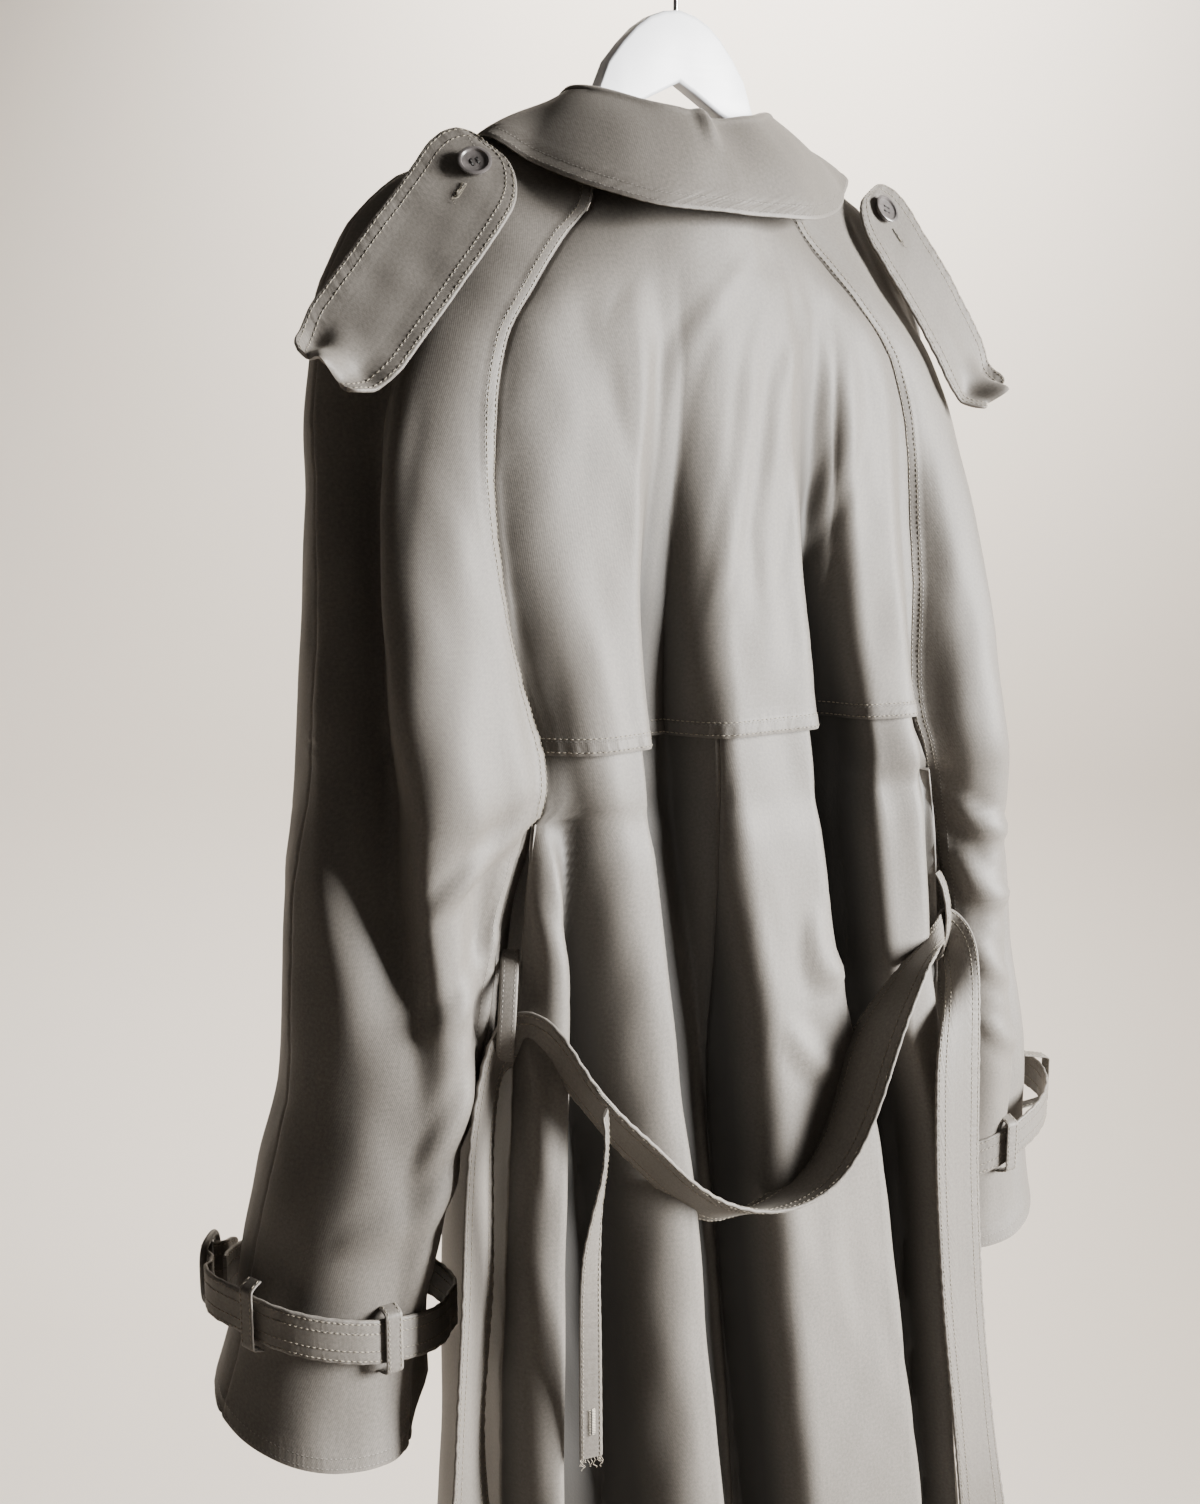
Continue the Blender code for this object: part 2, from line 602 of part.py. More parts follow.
for name, side in SIDES.items():
    turned = (side, 1.0, 1.0)
    edge = 0 if side < 0 else -1
    arm = slice(0, ARM_ROWS - 1)
    body = slice(ARM_ROWS - 1, None)
    back_edge = back_out[:, edge] * turned
    front = front_faces[name]
    front_edge = front_out[name][:, 0].copy()
    into_front = front[:, 1] - front[:, 0]
    sleeve = sleeve_out[name]
    points = sleeve_faces[name]
    into_sleeve = points[:, 1] - points[:, 0]
    into_end = points[:, -2] - points[:, -1]

    back_arm, sleeve_start = seam_out(back_edge[arm], sleeve[arm, 0], into_sleeve[arm])
    front_arm, sleeve_end = seam_out(front_edge[arm], sleeve[arm, -1], into_end[arm])
    back_side, front_side = seam_out(back_edge[body], front_edge[body], into_front[body])
    back_out[arm, edge] = back_arm * turned
    back_out[body, edge] = back_side * turned
    front_out[name][arm, 0] = front_arm
    front_out[name][body, 0] = front_side
    sleeve[arm, 0] = sleeve_start
    sleeve[arm, -1] = sleeve_end


def layer(face, out, offset, thickness):
    """Outer and inner points of a wall whose outer face lies offset off the given face."""
    return face + out * offset, face + out * (offset - thickness)


def cut_wall(name, face, out, offset, thickness, columns, rows, material):
    """A wall on a part of a face, set back from its seams."""
    outer, inner = layer(face, out, offset, thickness)
    return wall(name, set_back(outer, columns, rows), set_back(inner, columns, rows), material)


# The back panels lie below the shield as far as its hem, and come out to the surface
# under it.
below = np.array([-(CLOTH + LAYER) * step((z + 575) / (575 - 548)) for z in BODY_ROWS])
back_offset = below[:, None, None]
for name, part in (("back_left", slice(0, CENTRE + 1)), ("back_right", slice(CENTRE, None))):
    cut_wall(name, back_face[:, part], back_out[:, part], back_offset, CLOTH, (0, -1), (), TWILL)

# The storm shield lies on the back as far as its free hem, where it stands off a little.
shield_rows = UPPER.index(-506) + 1
flare = np.array([SHIELD_FLARE * step((-330 - z) / 176) for z in UPPER[:shield_rows]])
spread = 1 - np.abs(np.linspace(-1, 1, 2 * BACK_HALF + 1)) ** 6
stand_off = (flare[:, None] * spread)[..., None]
cut_wall("storm_shield", back_face[:shield_rows], back_out[:shield_rows], stand_off, CLOTH, (0, -1), (),
         TWILL)

for name, side in SIDES.items():
    cut_wall(f"front_{name}", side_of(front_faces[name], side), side_of(front_out[name], side),
             0.0, CLOTH, (0,), (), TWILL)
    face = side_of(sleeve_faces[name], side)
    out = side_of(sleeve_out[name], side)
    back_part = slice(0, TOP_SEAM + 1)
    front_part = slice(TOP_SEAM, None)
    cut_wall(f"sleeve_{name}_back", face[:, back_part], out[:, back_part], 0.0, CLOTH, (0, -1), (), TWILL)
    cut_wall(f"sleeve_{name}_front", face[:, front_part], out[:, front_part], 0.0, CLOTH, (0, -1), (),
             TWILL)

# The under-layer of the centre-back vent belongs to the left back and lies under the right.
vent_rows = slice(BODY_ROWS.index(VENT_TOP), None)
vent_columns = slice(CENTRE, CENTRE + VENT_CELLS + 1)
cut_wall("vent_lap", back_face[vent_rows, vent_columns], back_out[vent_rows, vent_columns],
         -(CLOTH + LAYER), 1.4, (), (), UNDERSIDE)

# The lapel of each front is turned back on it, so its facing is the visible side. It stands
# off more towards its outer edge.
for name, side in SIDES.items():
    turned_back = []
    for row, z in enumerate(BODY_ROWS):
        if LAPEL_HEIGHTS[-1] <= z <= LAPEL_HEIGHTS[0]:
            line = front_faces[name][row, ::-1]
            lengths = np.r_[0, np.cumsum(np.linalg.norm(np.diff(line, axis=0), axis=1))]
            width = at_heights(LAPEL_HEIGHTS, LAPEL_WIDTHS, z)
            where = np.linspace(0.5, 0.5 + width, LAPEL_CELLS + 1)
            turned_back.append(np.stack([np.interp(where, lengths, line[:, k]) for k in range(3)], 1))
    turned_back = np.array(turned_back)
    away = normals(turned_back)
    lift = 2 * LAYER + LAPEL_STAND * np.linspace(0, 1, LAPEL_CELLS + 1)[None, :, None]
    wall(f"lapel_{name}", side_of(turned_back + away * (lift + LAPEL_CLOTH), side),
         side_of(turned_back + away * lift, side), TWILL)


# ---------------------------------------------------------------- collar
def collar_grid():
    """The collar's visible face, from the neck seam inside, over the fold, to the free edge."""
    stations = np.linspace(0, 1, len(COLLAR["fold_x"]))
    where = np.linspace(0, 1, COLLAR_HALF + 1)
    fold = np.stack([smooth(stations, COLLAR[f"fold_{k}"], where) for k in "xyz"], 1)
    edge = np.stack([smooth(stations, COLLAR[f"edge_{k}"], where) for k in "xyz"], 1)
    grids = {}
    for name, side in SIDES.items():
        neck = [back_face[0, CENTRE::int(side)] * (side, 1, 1),
                sleeve_faces[name][0, 1:],
                front_faces[name][0, 1:]]
        seam = even(np.vstack(neck), COLLAR_HALF)
        top = fold + side * smooth(stations, COLLAR["fold_slide"], where)[:, None] * (1, 0, 0)
        free = edge + side * smooth(stations, COLLAR["edge_slide"], where)[:, None] * (1, 0, 0)
        outward = unit((free - top) * (1, 1, 0))
        base = seam + (0, 0, 1.4) - outward * 1.6
        rows = []
        for part in (0.0, 0.5):
            rows.append(base + (top - outward * COLLAR_ROLL - (0, 0, COLLAR_ROLL) - base) * part)
        for turn in (180, 120, 60, 10):
            angle = math.radians(turn)
            rise = (0, 0, COLLAR_ROLL * (math.sin(angle) - 1))
            rows.append(top + outward * COLLAR_ROLL * math.cos(angle) + rise)
        start = rows[-1]
        for part in (0.25, 0.5, 0.75, 1.0):
            crown = (outward * 0.6 + (0, 0, 1.0)) * 4.0 * math.sin(math.pi * part)
            rows.append(start + (free - start) * part + crown)
        grids[name] = side_of(np.array(rows), side)
    return np.concatenate([grids["left"][:, ::-1], grids["right"][:, 1:]], axis=1)


collar = collar_grid()
collar_out = normals(collar)
wall("collar", collar, collar - collar_out * COLLAR_CLOTH, TWILL)


# ---------------------------------------------------------------- bands
def band(name, first, second, thickness, cells, material):
    """A strip of doubled cloth between two edge lines, half of its wall on either side."""
    part = np.linspace(0, 1, cells + 1)[None, :, None]
    grid = first[:, None] * (1 - part) + second[:, None] * part
    out = normals(grid) * thickness / 2
    return wall(name, grid + out, grid - out, material)


def belt_sections():
    """The belt's two edge lines across the back."""
    line = np.stack([BELT["x"], BELT["y"], BELT["z"]], 1).astype(float)
    run = unit(np.gradient(line, axis=0) * (1, 0, 1))
    square = np.stack([-run[:, 2], 0 * run[:, 0], run[:, 0]], 1)
    upright = np.asarray(BELT["upright"])[:, None]
    square = unit(square * (1 - upright) + np.array([0, 0, 1.0]) * upright)
    turn = np.radians(BELT["turn"])[:, None]
    across = square * np.cos(turn) + np.array([0, 1.0, 0]) * np.sin(turn)
    half = np.asarray(BELT["width"], float)[:, None] / 2
    return np.hstack([line + across * half, line - across * half])


left_end = np.array(LEFT_END, float).reshape(-1, 6)
right_end = np.array(RIGHT_END, float).reshape(-1, 6)
belt_path = even(spline(np.vstack([left_end[::-1], belt_sections(), right_end]), 900), BELT_CELLS)
band("belt", belt_path[:, :3], belt_path[:, 3:], DOUBLE, 2, TWILL)

# The belt loops are sewn over the side seams, above and below the belt.
for name, side in SIDES.items():
    top, bottom = LOOP_HEIGHTS[name]
    heights = np.linspace(top, bottom, 9)
    away = 1.6 + (LOOP_STAND - 1.6) * np.sin(np.linspace(0, math.pi, 9)) ** 0.6
    seam = np.array([[look_up(SIDE, "x", z) + side * slide(z), look_up(SIDE, "y", z), z] for z in heights])
    outward = unit(np.array([0.5, -0.86, 0.0]))
    across = np.array([0.86, 0.5, 0.0]) * LOOP_WIDTH / 2
    line = seam + outward * away[:, None]
    band(f"belt_loop_{name}", side_of(line + across, side), side_of(line - across, side), 2.0, 1, TWILL)

tab_turn = np.radians(TAB["turn"])
tab_line = spline(np.stack([TAB["x"], TAB["y"], TAB["z"]], 1), 200)
tab_line = even(tab_line, 14)
tab_turn = at_heights(TAB["z"], tab_turn, tab_line[:, 2])
tab_across = np.stack([np.cos(tab_turn), -np.sin(tab_turn), 0 * tab_turn], 1) * TAB_WIDTH / 2
band("belt_tab", tab_line - tab_across, tab_line + tab_across, 1.6, 1, TWILL)


# ---------------------------------------------------------------- epaulettes
def epaulette(line, across):
    """An epaulette's middle face, from its rounded tip at the collar to its pinched outer end."""
    line = even(spline(line, 200), EPAULETTE_CELLS)
    run = np.r_[0, np.cumsum(np.linalg.norm(np.diff(line, axis=0), axis=1))]
    across = unit(np.array(across, float))
    facing = unit(np.cross(np.gradient(line, axis=0), across))
    round_tip = np.sqrt(1 - (1 - np.clip(run / EPAULETTE_TIP, 0, 1)) ** 2)
    pinch = step((run - run[-1] + EPAULETTE_PINCH) / EPAULETTE_PINCH)
    half = EPAULETTE_WIDTH / 2 * (0.28 + 0.72 * round_tip) * (1 - 0.26 * pinch)
    place = np.linspace(-1, 1, 5)
    grid = line[:, None] + half[:, None, None] * place[None, :, None] * across
    fold = PINCH_DEPTH * pinch[:, None] * np.array([0, -0.45, -1.0, -0.45, 0])
    return grid + fold[..., None] * facing[:, None]


epaulette_faces = {}
for name, side in SIDES.items():
    face = side_of(epaulette(**EPAULETTES[name]), side)
    epaulette_faces[name] = face
    out = normals(face) * DOUBLE / 2
    wall(f"epaulette_{name}", face + out, face - out, TWILL)


# ---------------------------------------------------------------- buckles and buttons
def oblong(width, height, radius, centre=0.0, steps=2):
    """Corner points of a rounded oblong."""
    points = []
    for quarter, (sign_x, sign_y) in enumerate(((1, 1), (-1, 1), (-1, -1), (1, -1))):
        middle_x = centre + sign_x * (width / 2 - radius)
        middle_y = sign_y * (height / 2 - radius)
        for part in range(steps + 1):
            angle = math.radians(90 * (quarter + part / steps))
            points.append((middle_x + radius * math.cos(angle), middle_y + radius * math.sin(angle)))
    return points


def mesh_of(item, name):
    """The finished mesh of an object with its modifiers, welded; the object itself goes."""
    bpy.context.scene.collection.objects.link(item)
    view = bpy.context.evaluated_depsgraph_get()
    mesh = bpy.data.meshes.new_from_object(item.evaluated_get(view))
    bpy.data.objects.remove(item)
    mesh.name = name
    work = bmesh.new()
    work.from_mesh(mesh)
    bmesh.ops.remove_doubles(work, verts=work.verts, dist=1e-6)
    work.to_mesh(mesh)
    work.free()
    return mesh


def plate(name, outlines, thickness):
    """A flat plate inside the first outline, with the others as windows in it."""
    curve = bpy.data.curves.new(name, "CURVE")
    curve.dimensions = "2D"
    curve.fill_mode = "BOTH"
    curve.extrude = thickness / 2 * MM
    for outline in outlines:
        line = curve.splines.new("POLY")
        line.points.add(len(outline) - 1)
        line.use_cyclic_u = True
        for point, (x, y) in zip(line.points, outline):
            point.co = (x * MM, y * MM, 0.0, 1.0)
    return mesh_of(bpy.data.objects.new(name, curve), name)


def place(name, mesh, centre, outward, upward, material, scale=1.0):
    """An object made of a mesh whose +Z is turned outwards and whose +Y is turned upwards."""
    away = Vector(outward).normalized()
    across = Vector(upward).cross(away).normalized()
    turn = Matrix((across, away.cross(across), away)).transposed().to_4x4()
    mesh.transform(Matrix.Translation(Vector(centre) * MM) @ turn @ Matrix.Scale(scale, 4))
    mesh.shade_smooth()
    mesh.set_sharp_from_angle(angle=math.radians(35))
    mesh.materials.clear()
    mesh.materials.append(material)
    made = bpy.data.objects.new(name, mesh)
    COAT.objects.link(made)
    return made


def buckle(name, centre, outward, width, height, bar):
    """A plain buckle: an oblong frame with a bar across its middle."""
    window = (width - 3 * bar) / 2
    shift = (window + bar) / 2
    inside = height - 2 * bar
    outlines = [oblong(width, height, bar * 1.2), oblong(window, inside, 1.0, -shift, 1),
                oblong(window, inside, 1.0, shift, 1)]
    place(name, plate(name, outlines, BUCKLE_PLATE), centre, outward, (0, 0, 1), LEATHER)


def button_mesh():
    """A button 20 mm across: a dished disc with a rim and four sewing holes."""
    work = bmesh.new()
    bmesh.ops.create_cone(work, cap_ends=True, segments=16, radius1=8.6 * MM, radius2=10 * MM,
                          depth=3.2 * MM)
    top = max(work.faces, key=lambda face: face.calc_center_median().z)
    bmesh.ops.inset_region(work, faces=[top], thickness=1.9 * MM, depth=0.0)
    bmesh.ops.inset_region(work, faces=[top], thickness=0.9 * MM, depth=-0.9 * MM)
    mesh = bpy.data.meshes.new("button")
    work.to_mesh(mesh)
    work.free()
    holes = bmesh.new()
    for x in (-1.9, 1.9):
        for y in (-1.9, 1.9):
            bmesh.ops.create_cone(holes, cap_ends=True, segments=6, radius1=0.9 * MM, radius2=0.9 * MM,
                                  depth=8 * MM, matrix=Matrix.Translation((x * MM, y * MM, 0)))
    hole_mesh = bpy.data.meshes.new("button_holes")
    holes.to_mesh(hole_mesh)
    holes.free()
    cutter = bpy.data.objects.new("button_holes", hole_mesh)
    CUTTERS.objects.link(cutter)
    cutter.hide_render = True
    cutter.display_type = "WIRE"
    item = bpy.data.objects.new("button", mesh)
    cut = item.modifiers.new("holes", "BOOLEAN")
    cut.operation = "DIFFERENCE"
    cut.solver = "EXACT"
    cut.object = cutter
    return mesh_of(item, "button")


button = button_mesh()
for name, side in SIDES.items():
    face = epaulette_faces[name]
    out = normals(face)[2, 2]
    out = -out if out[1] > 0 else out
    up = unit(face[1, 2] - face[4, 2])
    centre = face[1, 2] * 0.35 + face[2, 2] * 0.65 + out * (DOUBLE / 2 + LAYER + 1.6)
    place(f"epaulette_button_{name}", button.copy(), centre, out, up, HORN)

# The closing buttons sit in two columns on the upper front.
for number, (z, across) in enumerate(BUTTON_ROWS, 1):
    line = front_row(z, -1.0, FRONT_EDGE, 0.0)
    for column, x in (("inner", -across), ("outer", across)):
        near = int(np.argmin(np.abs(line[:, 0] - x)))
        near = min(max(near, 1), len(line) - 2)
        run = line[near + 1] - line[near - 1]
        out = unit(np.array([run[1], -run[0], 0.0]))
        seat = np.array([x, np.interp(-x, -line[:, 0], line[:, 1]), z])
        centre = seat + out * (2.4 + 1.6 * FRONT_BUTTON / BUTTON)
        place(f"front_button_{column}_{number}", button.copy(), centre * (-1, 1, 1), out * (-1, 1, 1),
              (0, 0, 1), HORN, FRONT_BUTTON / BUTTON)
bpy.data.meshes.remove(button)

belt_end = belt_path[0].reshape(2, 3)
belt_end_out = np.cross(belt_end[1] - belt_end[0], (0, 0, 1.0))
buckle("belt_buckle", belt_end.mean(0) - (0, 0, BELT_BUCKLE / 2 + 0.5), belt_end_out, BELT_WIDTH + 18,
       BELT_BUCKLE, 6.0)


# ---------------------------------------------------------------- cuff straps
def sleeve_radius(side, folds, z, angles):
    """Distance from a sleeve's axis at height z to its surface at the given angles."""
    away = sleeve_row(z, side, folds)[:-1, :2] - sleeve_axis(z, side)
    around = np.arctan2(away[:, 1], away[:, 0])
    order = np.argsort(around)
    reach = np.linalg.norm(away, axis=1)
    return np.interp(angles, around[order], reach[order], period=2 * math.pi)


def strap_radius(name, angles):
    """Distance from the axis to the inside of a cuff strap, which spans the sleeve's folds."""
    reach = np.zeros_like(angles)
    for height in (STRAP_Z - 16, STRAP_Z, STRAP_Z + 16):
        for shift in np.radians(np.linspace(-30, 30, 7)):
            found = sleeve_radius(SIDES[name], SLEEVE_FOLDS[name], height, angles + shift)
            reach = np.maximum(reach, found)
    return reach + STRAP_STAND + STRAPS[name]["stand_out"] * np.clip(np.cos(angles), 0, 1) ** 2


def strap_point(name, angles, reach):
    """Points on a cuff strap's middle line."""
    axis = sleeve_axis(STRAP_Z, SIDES[name])
    x = reach * np.cos(angles)
    y = reach * np.sin(angles)
    return np.stack([axis[0] + x, axis[1] + y, STRAP_Z + STRAPS[name]["rise"] * x], -1)


def cuff_strap(name, side):
    """A strap round the cuff, threaded through its buckle, with two loops that hold it."""
    first = math.radians(BUCKLE_ANGLE)
    start = strap_radius(name, np.array([first]))[0] + BUCKLE_OUT
    whole = first + 2 * math.pi
    # once round from under the buckle, then closely spaced through the buckle to the end
    near = BAR_PITCH * 2.2 / start
    angles = np.r_[np.linspace(first - 0.15, whole - near - 0.1, STRAP_CELLS),
                   whole + np.linspace(-near, STRAP_TAIL / start, 24)]
    run = (angles - whole) * start
    climb = step((run + 75) / 42)
    across_bars = np.cos(math.pi * np.minimum(np.abs(run) / BAR_PITCH, 1))
    weave = WEAVE * across_bars * step((BAR_PITCH * 2.3 - np.abs(run)) / 10)
    reach = (strap_radius(name, angles) + DOUBLE / 2) * (1 - climb) + start * climb + weave
    past = np.clip(run - BAR_PITCH * 1.4, 0, None)
    line = strap_point(name, angles, reach + 0.5 * past)
    line[:, 2] -= STRAP_DROOP * past
    half = unit(np.array([0, 0, 1.0]) + np.clip(past / 6, 0, 0.7)[:, None]
                * np.stack([-np.sin(angles), np.cos(angles), 0 * angles], 1)) * STRAP_WIDTH / 2
    band(f"cuff_strap_{name}", side_of(line + half, side), side_of(line - half, side), DOUBLE, 1, TWILL)

    for number, place_at in enumerate(CUFF_LOOP_ANGLES, 1):
        angle = np.array([math.radians(place_at)])
        over = strap_radius(name, angle)[0] + DOUBLE + 3.6
        lean = np.linspace(-1, 1, 9)
        middle = strap_point(name, angle, np.array([over]))[0, 2]
        heights = middle + 22.0 * lean
        under = np.array([sleeve_radius(side, SLEEVE_FOLDS[name], z, angle)[0] for z in heights]) + 6.2
        mix = np.clip((1 - np.abs(lean)) / 0.12, 0, 1)
        line = strap_point(name, angle, under + (over - under) * mix)
        line[:, 2] = heights
        across = np.array([-math.sin(angle[0]), math.cos(angle[0]), 0.0]) * LOOP_WIDTH / 2
        band(f"cuff_loop_{name}_{number}", side_of(line - across, side), side_of(line + across, side),
             1.6, 1, TWILL)

    outward = np.array([math.cos(first), math.sin(first), 0.0])
    centre = strap_point(name, np.array([first]), np.array([start]))[0]
    buckle(f"cuff_buckle_{name}", centre * (side, 1, 1), outward * (side, 1, 1), 2 * BAR_PITCH + 5.0,
           STRAP_WIDTH + 15.0, 5.0)


for name, side in SIDES.items():
    cuff_strap(name, side)


# ---------------------------------------------------------------- the hanger
def board_face(shift):
    """Three rows of points over one face of the hanger's board, from bottom to top."""
    x = np.r_[-np.array(BOARD_X[:0:-1]), BOARD_X].astype(float)
    top = np.r_[BOARD_TOP[:0:-1], BOARD_TOP].astype(float)
    bottom = np.r_[BOARD_BOTTOM[:0:-1], BOARD_BOTTOM].astype(float)
    return np.array([np.stack([x, x * x / BOARD_BEND + shift, bottom + (top - bottom) * part], 1)
                     for part in (0, 0.5, 1)])


wall("hanger", board_face(-BOARD / 2), board_face(BOARD / 2), PAINT)

hook = bpy.data.curves.new("hook", "CURVE")
hook.dimensions = "3D"
hook.bevel_depth = HOOK_WIRE * MM
hook.bevel_resolution = 2
hook.use_fill_caps = True
ring = HOOK_INSIDE + HOOK_WIRE
wire_path = [(0, BOARD_TOP[0] + 0.3), (0, -50), (0.8, -43.5), (4.5, -38)]
for angle in range(-50, 215, 20):
    turn = math.radians(angle)
    wire_path.append((ring * math.cos(turn), -HOOK_INSIDE + ring * math.sin(turn)))
wire = hook.splines.new("POLY")
wire.points.add(len(wire_path) - 1)
for point, (x, z) in zip(wire.points, wire_path):
    point.co = (x * MM, 0.0, z * MM, 1.0)
place("hook", mesh_of(bpy.data.objects.new("hook", hook), "hook"), (0, 0, 0), (0, 0, 1), (0, 1, 0), STEEL)
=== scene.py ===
# %% [markdown]
# # A trench coat on a wooden hanger
#
# This lesson dresses a finished frame: the solid pieces of a long double-breasted trench
# coat, hung on a flat white hanger and seen from behind. The frame says where each piece is
# and how large it is. Here every piece gets its fine surface: folds, seams, rows of
# stitching, buttonholes, twill and horn.
#
# All the tables are in millimetres and Blender works in metres, so MM stands at the few
# places where a mesh is made.

# %% Load the frame
import math

import bmesh
import bpy
import numpy as np
from mathutils import Matrix, Vector


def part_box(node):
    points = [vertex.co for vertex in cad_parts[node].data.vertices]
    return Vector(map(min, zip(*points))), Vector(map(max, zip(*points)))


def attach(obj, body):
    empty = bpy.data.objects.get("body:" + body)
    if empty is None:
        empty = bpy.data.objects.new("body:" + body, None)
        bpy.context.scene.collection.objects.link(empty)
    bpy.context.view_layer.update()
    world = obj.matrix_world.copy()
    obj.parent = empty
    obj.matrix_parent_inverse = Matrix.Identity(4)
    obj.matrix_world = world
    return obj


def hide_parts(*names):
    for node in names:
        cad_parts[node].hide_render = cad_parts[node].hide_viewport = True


MM = 0.001
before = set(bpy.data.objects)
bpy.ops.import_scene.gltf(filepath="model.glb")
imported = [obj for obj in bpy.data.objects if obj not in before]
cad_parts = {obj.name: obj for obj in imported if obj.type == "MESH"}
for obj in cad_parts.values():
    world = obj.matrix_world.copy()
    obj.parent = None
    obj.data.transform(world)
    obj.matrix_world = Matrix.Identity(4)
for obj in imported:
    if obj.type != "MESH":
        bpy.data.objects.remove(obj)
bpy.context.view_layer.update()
bpy.ops.object.select_all(action="DESELECT")


def new_object(name, data):
    """A new object with the given data, put in the scene."""
    made = bpy.data.objects.new(name, data)
    bpy.context.scene.collection.objects.link(made)
    return made


def only(item):
    """Selects one object and makes it the active one."""
    bpy.ops.object.select_all(action="DESELECT")
    item.select_set(True)
    bpy.context.view_layer.objects.active = item


# %% [markdown]
# ## The camera
# The eye stands behind the coat, on its left, about as high as the shoulder blades, and
# looks a little down. Its lens is a tenth longer than its sensor is high, so its view is 49
# degrees high.

# %% Set the camera
EYE = (-646.6, -889.9, -335.5)
EYE_TURN = 33.53        # degrees from the +Y axis towards +X
EYE_PITCH = 10.0        # degrees below the horizon
SENSOR = 36.0
LENS_SHARE = 1650 / 1504    # length of the lens over the height of the sensor

camera_data = bpy.data.cameras.new("eye")
camera_data.sensor_fit = "VERTICAL"
camera_data.sensor_height = SENSOR
camera_data.sensor_width = SENSOR
camera_data.lens = SENSOR * LENS_SHARE
camera_data.clip_start = 0.05
camera = new_object("eye", camera_data)
camera.location = Vector(EYE) * MM
camera.rotation_euler = (math.radians(90 - EYE_PITCH), 0, math.radians(-EYE_TURN))
bpy.context.scene.camera = camera
print("camera: lens", round(camera_data.lens, 1), "mm")

# %% [markdown]
# ## The room
# A plain pale sheet stands for floor and wall in one. A plane is added, its far edge is
# pulled up into a wall, and the corner between them is rounded with a bevel, so no line
# shows behind the coat. It is stage, not part of the coat.

# %% Build the backdrop
FLOOR_Z = -1.62         # metres, as all the backdrop's sizes
SHEET = 9.0             # side of the sheet
WALL_AHEAD = 1.9        # from the coat to the wall
WALL_HEIGHT = 6.0
BEND = 0.7              # radius of the round corner
BEND_CELLS = 12
PLASTER_COLOUR = (0.80, 0.73, 0.65, 1.0)
far_edge = SHEET / 2 - 0.1


def edit_mode_on(item):
    """Opens one object for editing, with nothing in it selected."""
    only(item)
    bpy.ops.object.mode_set(mode="EDIT")
    bpy.ops.mesh.select_all(action="DESELECT")


def edit_mode_off():
    """Closes it again."""
    bpy.ops.object.mode_set(mode="OBJECT")


def select_edges(item, rule):
    """Selects the edges whose middle meets the rule; the item is in edit mode."""
    work = bmesh.from_edit_mesh(item.data)
    bpy.context.tool_settings.mesh_select_mode = (False, True, False)
    for edge in work.edges:
        middle = (edge.verts[0].co + edge.verts[1].co) / 2
        edge.select_set(bool(rule(middle)))
    bmesh.update_edit_mesh(item.data)


def select_faces(item, rule):
    """Selects the faces whose middle and normal meet the rule; the item is in edit mode."""
    work = bmesh.from_edit_mesh(item.data)
    bpy.context.tool_settings.mesh_select_mode = (False, False, True)
    for face in work.faces:
        face.select_set(bool(rule(face.calc_center_median(), face.normal)))
    bmesh.update_edit_mesh(item.data)


ahead = Vector((math.sin(math.radians(EYE_TURN)), math.cos(math.radians(EYE_TURN)), 0))
bpy.ops.mesh.primitive_plane_add(size=SHEET, location=(0, 0, 0))
backdrop = bpy.context.active_object
backdrop.name = "backdrop"
edit_mode_on(backdrop)
select_edges(backdrop, lambda middle: middle.y > far_edge)
bpy.ops.mesh.extrude_region_move(TRANSFORM_OT_translate={"value": (0, 0, WALL_HEIGHT)})
select_edges(backdrop, lambda middle: middle.y > far_edge and middle.z < 0.1)
bpy.ops.mesh.bevel(offset=BEND, segments=BEND_CELLS, affect="EDGES")
edit_mode_off()
turn = Matrix.Rotation(math.radians(-EYE_TURN), 4, "Z")
middle = ahead * (WALL_AHEAD - SHEET / 2) + Vector((0, 0, FLOOR_Z))
backdrop.data.transform(Matrix.Translation(middle) @ turn)
backdrop.data.shade_smooth()
plaster = bpy.data.materials.new("plaster")
plaster.use_nodes = True
finish = plaster.node_tree.nodes["Principled BSDF"]
finish.inputs["Base Color"].default_value = PLASTER_COLOUR
finish.inputs["Roughness"].default_value = 0.9
backdrop.data.materials.append(plaster)
print("backdrop:", len(backdrop.data.polygons), "faces")

# %% [markdown]
# ## The light
# One tall window on the right gives the soft light that models every fold: the sides that
# face it are pale and the sides that turn away are nearly black. A second one lights the
# wall behind the coat, and the sky keeps the dark sides readable.

# %% Light the room
# Places and sizes in metres, power in watts, spread in degrees.
WINDOW = {
    "place": (2.25, -2.37, -0.1),
    "aim": (0.0, 0.0, -0.8),
    "size": (1.1, 1.7),
    "power": 84,
    "spread": 52,
    "colour": (1.0, 0.99, 0.97),
}
WASH = {
    "place": (0.7, 0.7, 1.5),
    "aim": (1.7, 2.0, -0.5),
    "size": (1.0, 2.0),
    "power": 92,
    "spread": 105,
    "colour": (1.0, 0.97, 0.93),
}
SKY_COLOUR = (1.0, 0.93, 0.86, 1)
SKY_STRENGTH = 0.09


def area_light(name, place, aim, size, power, spread, colour):
    """A soft rectangular light that looks from its place to its aim."""
    data = bpy.data.lights.new(name, "AREA")
    data.shape = "RECTANGLE"
    data.size, data.size_y = size
    data.energy = power
    data.spread = math.radians(spread)
    data.color = colour
    made = new_object(name, data)
    made.location = place
    made.rotation_mode = "QUATERNION"
    made.rotation_quaternion = (Vector(aim) - Vector(place)).to_track_quat("-Z", "Y")


